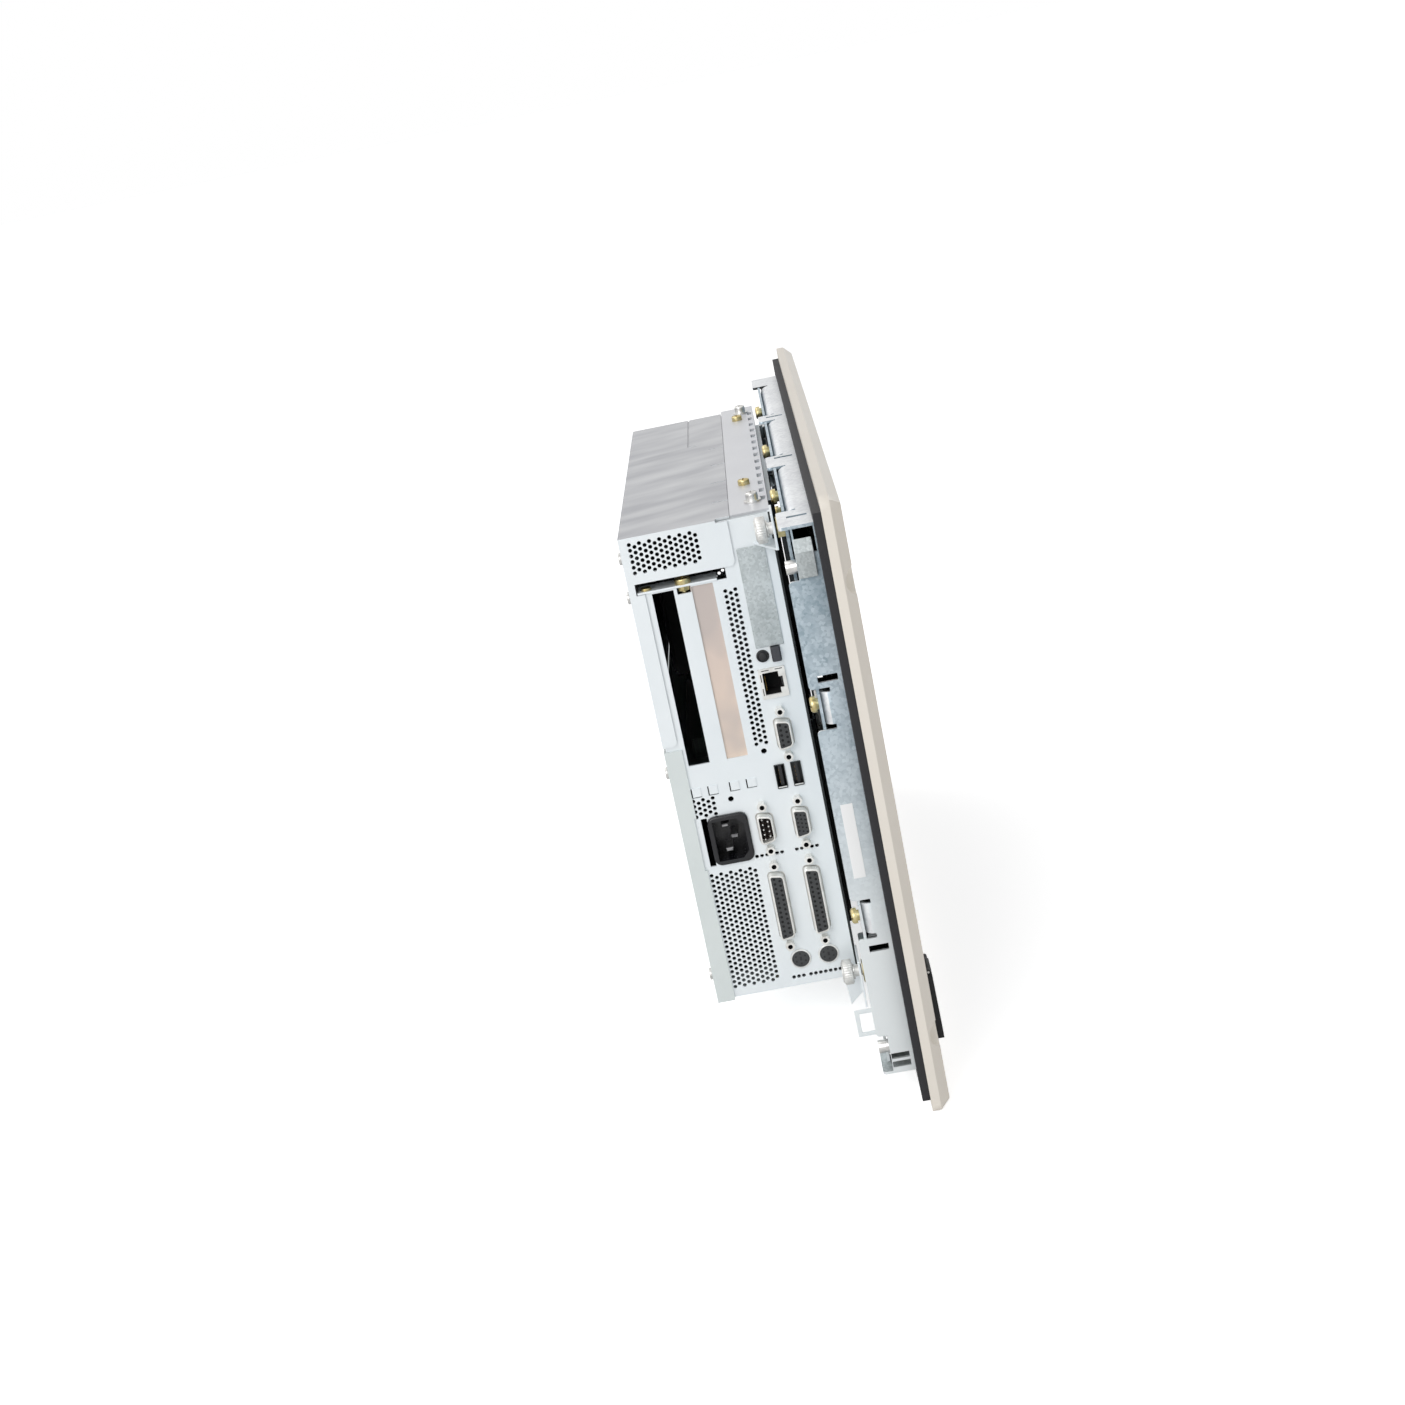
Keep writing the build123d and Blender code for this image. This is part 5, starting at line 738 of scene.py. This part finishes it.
def reset_button():
    """Round push button: an outer collar and a shallow dome inside a groove."""
    bm = bmesh.new()
    turned(bm, "X", (0.0, *RESET_PLACE), RESET_PROFILE, sides=40)
    finish_piece("reset_cap", bm, ["black"], "reset_button", replaced=["reset_button"],
                 sharp=50.0)


# Sidebar properties

class PanelPCColours(bpy.types.PropertyGroup):
    bezel: bpy.props.StringProperty(name="Bezel", description="Powder coat of the bezel, as sRGB hex",
                                    default="#E9E3DA")
    galvanised: bpy.props.StringProperty(name="Galvanised", default="#C9D6DE",
                                         description="Light crystals of the zinc, as sRGB hex")
    case: bpy.props.StringProperty(name="Case", description="Passivated sheet of the case, as sRGB hex",
                                   default="#F0F4F6")


class PanelPCSizes(bpy.types.PropertyGroup):
    shell_proud: bpy.props.FloatProperty(name="Shell height", description="How far shells stand out",
                                         default=0.005, subtype="DISTANCE", unit="LENGTH")
    shell_lip: bpy.props.FloatProperty(name="Shell lip", description="Width of the rolled lip of a shell",
                                       default=0.0010, subtype="DISTANCE", unit="LENGTH")


class PanelPCStudio(bpy.types.PropertyGroup):
    key_power: bpy.props.FloatProperty(name="Key light", description="Power of the large soft light",
                                       default=20.0, subtype="POWER", unit="POWER")
    fill: bpy.props.FloatProperty(name="Fill", description="Level of the even light from all round",
                                  default=0.5, subtype="FACTOR")


# Operators

class PANELPC_OT_finishes(bpy.types.Operator):
    """Builds the finishes"""
    bl_idname = "panelpc.finishes"
    bl_label = "Finishes"

    def execute(self, context):
        make_finishes()
        return {"FINISHED"}


class PANELPC_OT_bezel(bpy.types.Operator):
    """Dresses the bezel, its gasket and the display stack"""
    bl_idname = "panelpc.bezel"
    bl_label = "Bezel and display"

    def execute(self, context):
        dress("bezel", "front_bezel")
        # Painted highlight: the top bevel and the walls of the rack recesses take the lighter copy of the
        # coat.
        redress("front_bezel", "bezel_painted_highlight", lambda normal, middle: normal.z > 0.5 and normal.y < -0.3)
        hole_x, hole_z = RACK_HOLE
        redress("front_bezel", "bezel_painted_highlight", lambda normal, middle: normal.y < 0.5
                and math.hypot(abs(middle.x) - hole_x, abs(middle.z) - hole_z) < RACK_RECESS_REACH)
        dress("gasket", "panel_gasket")
        dress("foil", "front_foil")
        dress("glass", "touch_glass")
        dress("display", "lcd_module")
        dress("board", "interface_board")
        soften(0.4, "front_bezel")
        return {"FINISHED"}


class PANELPC_OT_flap(bpy.types.Operator):
    """Dresses the front flap with its base, pin and socket"""
    bl_idname = "panelpc.flap"
    bl_label = "Front flap"

    def execute(self, context):
        dress("flap", "front_flap", "flap_base")
        dress("bright", "flap_pin")
        dress("tin", "service_socket")
        soften(0.5, "front_flap")
        soften(0.25, "flap_base")
        return {"FINISHED"}


class PANELPC_OT_frame(bpy.types.Operator):
    """Dresses the mounting frame, the back plate and what they carry"""
    bl_idname = "panelpc.frame"
    bl_label = "Mounting frame"

    def execute(self, context):
        dress("frame", "mounting_frame", "back_plate", "cable_lug")
        dress("cover_card", "corner_clip")
        # Painted highlight: the frame's top faces and the rounded bends of its ears take the lighter copy.
        redress("mounting_frame", "frame_painted_highlight", lambda normal, middle: normal.z > 0.5 and middle.z > 0)
        redress("mounting_frame", "frame_painted_highlight", lambda normal, middle: -0.97 < normal.x < -0.15
                and normal.y > 0.2 and middle.x < FRAME_FOLD)
        # Painted shade: the upward faces of the bottom wall take the darker card-cover sheet.
        redress("mounting_frame", "cover_card", lambda normal, middle: normal.z > 0.5
                and middle.z < FRAME_FLOOR)
        # Painted shade: the inner face of the far wall is near-black.
        redress("mounting_frame", "dark", lambda normal, middle: normal.x < -0.5
                and middle.x > FRAME_FAR_WALL)
        dress("zinc", "back_plate_screws", "latch_nuts")
        dress("bright", "corner_studs", "frame_hinges", "hinge_pins")
        dress("label", "label_plate")
        soften(0.35, "mounting_frame", "corner_clip", "cable_lug")
        soften(0.2, "back_plate_screws", "latch_nuts", "corner_studs", "frame_hinges")
        soften(0.08, "label_plate")
        return {"FINISHED"}


class PANELPC_OT_case(bpy.types.Operator):
    """Dresses the case of the computing unit, its covers and its card bay"""
    bl_idname = "panelpc.case"
    bl_label = "Case and covers"

    def execute(self, context):
        dress("case", "chassis_tub", "port_plate", "card_rail", "latch_flanges")
        # Painted shade: the front faces of the tub, seen down the gap to the frame, are near-black.
        redress("chassis_tub", "dark", lambda normal, middle: middle.y < CHASSIS_FRONT and normal.z < 0.5)
        dress("lower_case", "lower_cover")
        dress("strip", "top_channel")
        # One folded sheet in three tones: the case sheet on the side flap, a darker streaked copy on top as
        # painted reflection and a darker copy on the back as painted shade.
        dress("cover", "rear_cover")
        redress("rear_cover", "case", lambda normal, middle: normal.x < -0.5)
        redress("rear_cover", "cover_back", lambda normal, middle: normal.y > 0.5)
        dress("blank", "slot_blank")
        dress("cover_card", "card_cover")
        dress("bright", "unit_hinges")
        soften(0.3, "card_cover")
        soften(0.2, "latch_flanges", "card_rail", "slot_blank", "unit_hinges")
        return {"FINISHED"}


class PANELPC_OT_fixings(bpy.types.Operator):
    """Dresses the screws, thumbscrews and buttons"""
    bl_idname = "panelpc.fixings"
    bl_label = "Fixings and buttons"

    def execute(self, context):
        dress("zinc", "rail_screws", "chassis_screws")
        dress("bright", "cover_screws", "washer_screws", "thumb_washer_upper", "thumb_washer_lower")
        dress("tin", "jack_screws")
        axes = [(y, z + end) for _, y, z, _, pitch, _ in TRAPEZOIDS for end in (-pitch / 2, pitch / 2)]
        # Painted shade: the bores of the jack screws are near-black.
        redress("jack_screws", "cavity", lambda normal, middle:
                any(math.hypot(middle.y - y, middle.z - z) < JACK_BORE_REACH for y, z in axes))
        # The blades are darkened: painted shade of the deep cup.
        dress("pin_steel", "inlet_pins")
        dress("button", "ejector_button")
        for label, z in THUMBSCREWS:
            thumbscrew(label, z)
        reset_button()
        soften(0.15, "rail_screws", "chassis_screws", "cover_screws", "washer_screws", "jack_screws",
               "thumb_washer_upper", "thumb_washer_lower")
        soften(0.3, "ejector_button")
        return {"FINISHED"}


class PANELPC_OT_trapezoids(bpy.types.Operator):
    """Builds the five trapezoid connectors"""
    bl_idname = "panelpc.trapezoids"
    bl_label = "Trapezoid connectors"

    def execute(self, context):
        for entry in TRAPEZOIDS:
            trapezoid_connector(*entry, context.scene.panel_pc_sizes)
        return {"FINISHED"}


class PANELPC_OT_network(bpy.types.Operator):
    """Builds the network socket"""
    bl_idname = "panelpc.network"
    bl_label = "Network socket"

    def execute(self, context):
        network_socket()
        return {"FINISHED"}


class PANELPC_OT_bus(bpy.types.Operator):
    """Builds the two bus sockets"""
    bl_idname = "panelpc.bus"
    bl_label = "Bus sockets"

    def execute(self, context):
        bus_sockets()
        return {"FINISHED"}


class PANELPC_OT_round(bpy.types.Operator):
    """Builds the keyboard and mouse sockets"""
    bl_idname = "panelpc.round"
    bl_label = "Round sockets"

    def execute(self, context):
        round_sockets()
        return {"FINISHED"}


class PANELPC_OT_inlet(bpy.types.Operator):
    """Builds the mains inlet"""
    bl_idname = "panelpc.inlet"
    bl_label = "Mains inlet"

    def execute(self, context):
        mains_inlet()
        return {"FINISHED"}


class PANELPC_OT_inside(bpy.types.Operator):
    """Dresses the boards, supply, disk and fan"""
    bl_idname = "panelpc.inside"
    bl_label = "Inside"

    def execute(self, context):
        # Painted shade: the boards, supply, tray and disk inside the case are near-black; the boards' mask
        # is black as well.
        dress("board", "main_board", "riser_board", "supply_board")
        dress("dark", "power_supply", "disk_tray")
        dress("aluminium", "heatsink")
        dress("drive", "hard_disk")
        dress("black", "fan_frame", "fan_rotor")
        soften(0.4, "hard_disk", "fan_frame")
        soften(0.2, "power_supply", "disk_tray")
        return {"FINISHED"}


class PANELPC_OT_stage(bpy.types.Operator):
    """Sets the floor, the lights, the white surroundings and the camera"""
    bl_idname = "panelpc.stage"
    bl_label = "Stage"

    def execute(self, context):
        scene = context.scene
        studio = scene.panel_pc_studio
        make_floor()
        make_surroundings(scene, studio.fill)
        for name, place, size, share in LIGHTS:
            make_light(name, place, size, studio.key_power * share)
        make_camera(scene)
        scene.view_settings.view_transform = "Standard"
        return {"FINISHED"}


# The soft lights: name, place and size in metres, and share of the key light's power.
LIGHTS = (("key", (-1.7, 0.9, 1.1), 1.3, 1.0), ("top_fill", (0.5, 0.9, 1.6), 1.4, 0.35))

# The floor: its half width and the gap below the bezel in metres, and the white it adds for the camera.
FLOOR_HALF = 30.0
FLOOR_GAP = 0.1 * MM
FLOOR_LIFT = 0.6

# The camera, solved from the photograph: place in metres, turns in degrees and lens in millimetres.
CAMERA_PLACE = (-1.15428, 0.01794, 0.36250)
CAMERA_TURNS = (72.1782, 11.3598, -90.3432)
CAMERA_LENS = 52.828


def make_floor():
    """A plain white floor under the bezel's lower edge."""
    lowest = cad_box[0][2]
    bm = bmesh.new()
    bmesh.ops.create_grid(bm, x_segments=1, y_segments=1, size=FLOOR_HALF,
                          matrix=Matrix.Translation((0.0, 0.0, lowest - FLOOR_GAP)))
    mesh = bpy.data.meshes.new("studio_floor")
    bm.to_mesh(mesh)
    bm.free()
    material, tree, shader, _ = start_material("white_floor", Base_Color=linear("#F6F6F6"), Roughness=0.8)
    path = add_node(tree, "ShaderNodeLightPath")
    lift = add_node(tree, "ShaderNodeMath", {0: path.outputs["Is Camera Ray"], 1: FLOOR_LIFT},
                    operation="MULTIPLY")
    glow = add_node(tree, "ShaderNodeEmission", {"Color": linear("#FFFFFF"), "Strength": lift.outputs[0]})
    both = add_node(tree, "ShaderNodeAddShader", {0: shader.outputs[0], 1: glow.outputs[0]})
    tree.links.new(both.outputs[0], tree.nodes["Material Output"].inputs["Surface"])
    mesh.materials.append(material)
    floor = bpy.data.objects.new("studio_floor", mesh)
    bpy.context.scene.collection.objects.link(floor)


def make_surroundings(scene, level):
    """An even studio: white where the camera or a reflection sees it, softer as light."""
    world = bpy.data.worlds.new("studio_surroundings")
    scene.world = world
    world.use_nodes = True
    tree = world.node_tree
    tree.nodes.clear()
    path = add_node(tree, "ShaderNodeLightPath")
    direct = add_node(tree, "ShaderNodeMath", {0: path.outputs["Is Camera Ray"],
                                               1: path.outputs["Is Glossy Ray"]}, operation="MAXIMUM")
    seen = add_node(tree, "ShaderNodeMath", {0: direct.outputs[0], 1: path.outputs["Is Transmission Ray"]},
                    operation="MAXIMUM")
    strength = add_node(tree, "ShaderNodeMapRange", {"Value": seen.outputs[0], "To Min": level,
                                                     "To Max": 1.0})
    light = add_node(tree, "ShaderNodeBackground", {"Color": linear("#FFFFFF"),
                                                    "Strength": strength.outputs[0]})
    add_node(tree, "ShaderNodeOutputWorld", {"Surface": light.outputs[0]})


def make_light(name, place, size, power):
    """A square soft light that faces the object."""
    lamp = bpy.data.lights.new(name, "AREA")
    lamp.size = size
    lamp.energy = power
    holder = bpy.data.objects.new(name, lamp)
    holder.location = place
    holder.rotation_euler = (-Vector(place)).to_track_quat("-Z", "Y").to_euler()
    bpy.context.scene.collection.objects.link(holder)


def make_camera(scene):
    """The camera of the photograph, solved from its measured points."""
    lens = bpy.data.cameras.new("photograph")
    lens.sensor_width = 36.0
    lens.lens = CAMERA_LENS
    lens.clip_start = 0.02
    lens.clip_end = 50.0
    camera = bpy.data.objects.new("photograph", lens)
    camera.location = CAMERA_PLACE
    camera.rotation_euler = Euler([math.radians(turn) for turn in CAMERA_TURNS], "XYZ")
    scene.collection.objects.link(camera)
    scene.camera = camera


OPERATORS = (
    PANELPC_OT_finishes, PANELPC_OT_bezel, PANELPC_OT_flap, PANELPC_OT_frame, PANELPC_OT_case,
    PANELPC_OT_fixings, PANELPC_OT_trapezoids, PANELPC_OT_network, PANELPC_OT_bus, PANELPC_OT_round,
    PANELPC_OT_inlet, PANELPC_OT_inside, PANELPC_OT_stage,
)


class PANELPC_PT_sidebar(bpy.types.Panel):
    """Lists the pieces of the panel computer in the sidebar"""
    bl_idname = "PANELPC_PT_sidebar"
    bl_label = "Panel computer"
    bl_space_type = "VIEW_3D"
    bl_region_type = "UI"
    bl_category = "Panel PC"

    def draw(self, context):
        scene = context.scene
        for group in (scene.panel_pc_colours, scene.panel_pc_sizes, scene.panel_pc_studio):
            for name in group.__annotations__:
                self.layout.prop(group, name)
        for operator in OPERATORS:
            self.layout.operator(operator.bl_idname)


GROUPS = (PanelPCColours, PanelPCSizes, PanelPCStudio)


def register():
    for cls in (*GROUPS, *OPERATORS, PANELPC_PT_sidebar):
        bpy.utils.register_class(cls)
    bpy.types.Scene.panel_pc_colours = bpy.props.PointerProperty(type=PanelPCColours)
    bpy.types.Scene.panel_pc_sizes = bpy.props.PointerProperty(type=PanelPCSizes)
    bpy.types.Scene.panel_pc_studio = bpy.props.PointerProperty(type=PanelPCStudio)


def unregister():
    del bpy.types.Scene.panel_pc_studio
    del bpy.types.Scene.panel_pc_sizes
    del bpy.types.Scene.panel_pc_colours
    for cls in reversed((*GROUPS, *OPERATORS, PANELPC_PT_sidebar)):
        bpy.utils.unregister_class(cls)


def main():
    register()
    for operator in OPERATORS:
        family, name = operator.bl_idname.split(".")
        getattr(getattr(bpy.ops, family), name)()


if __name__ == "__main__":
    main()
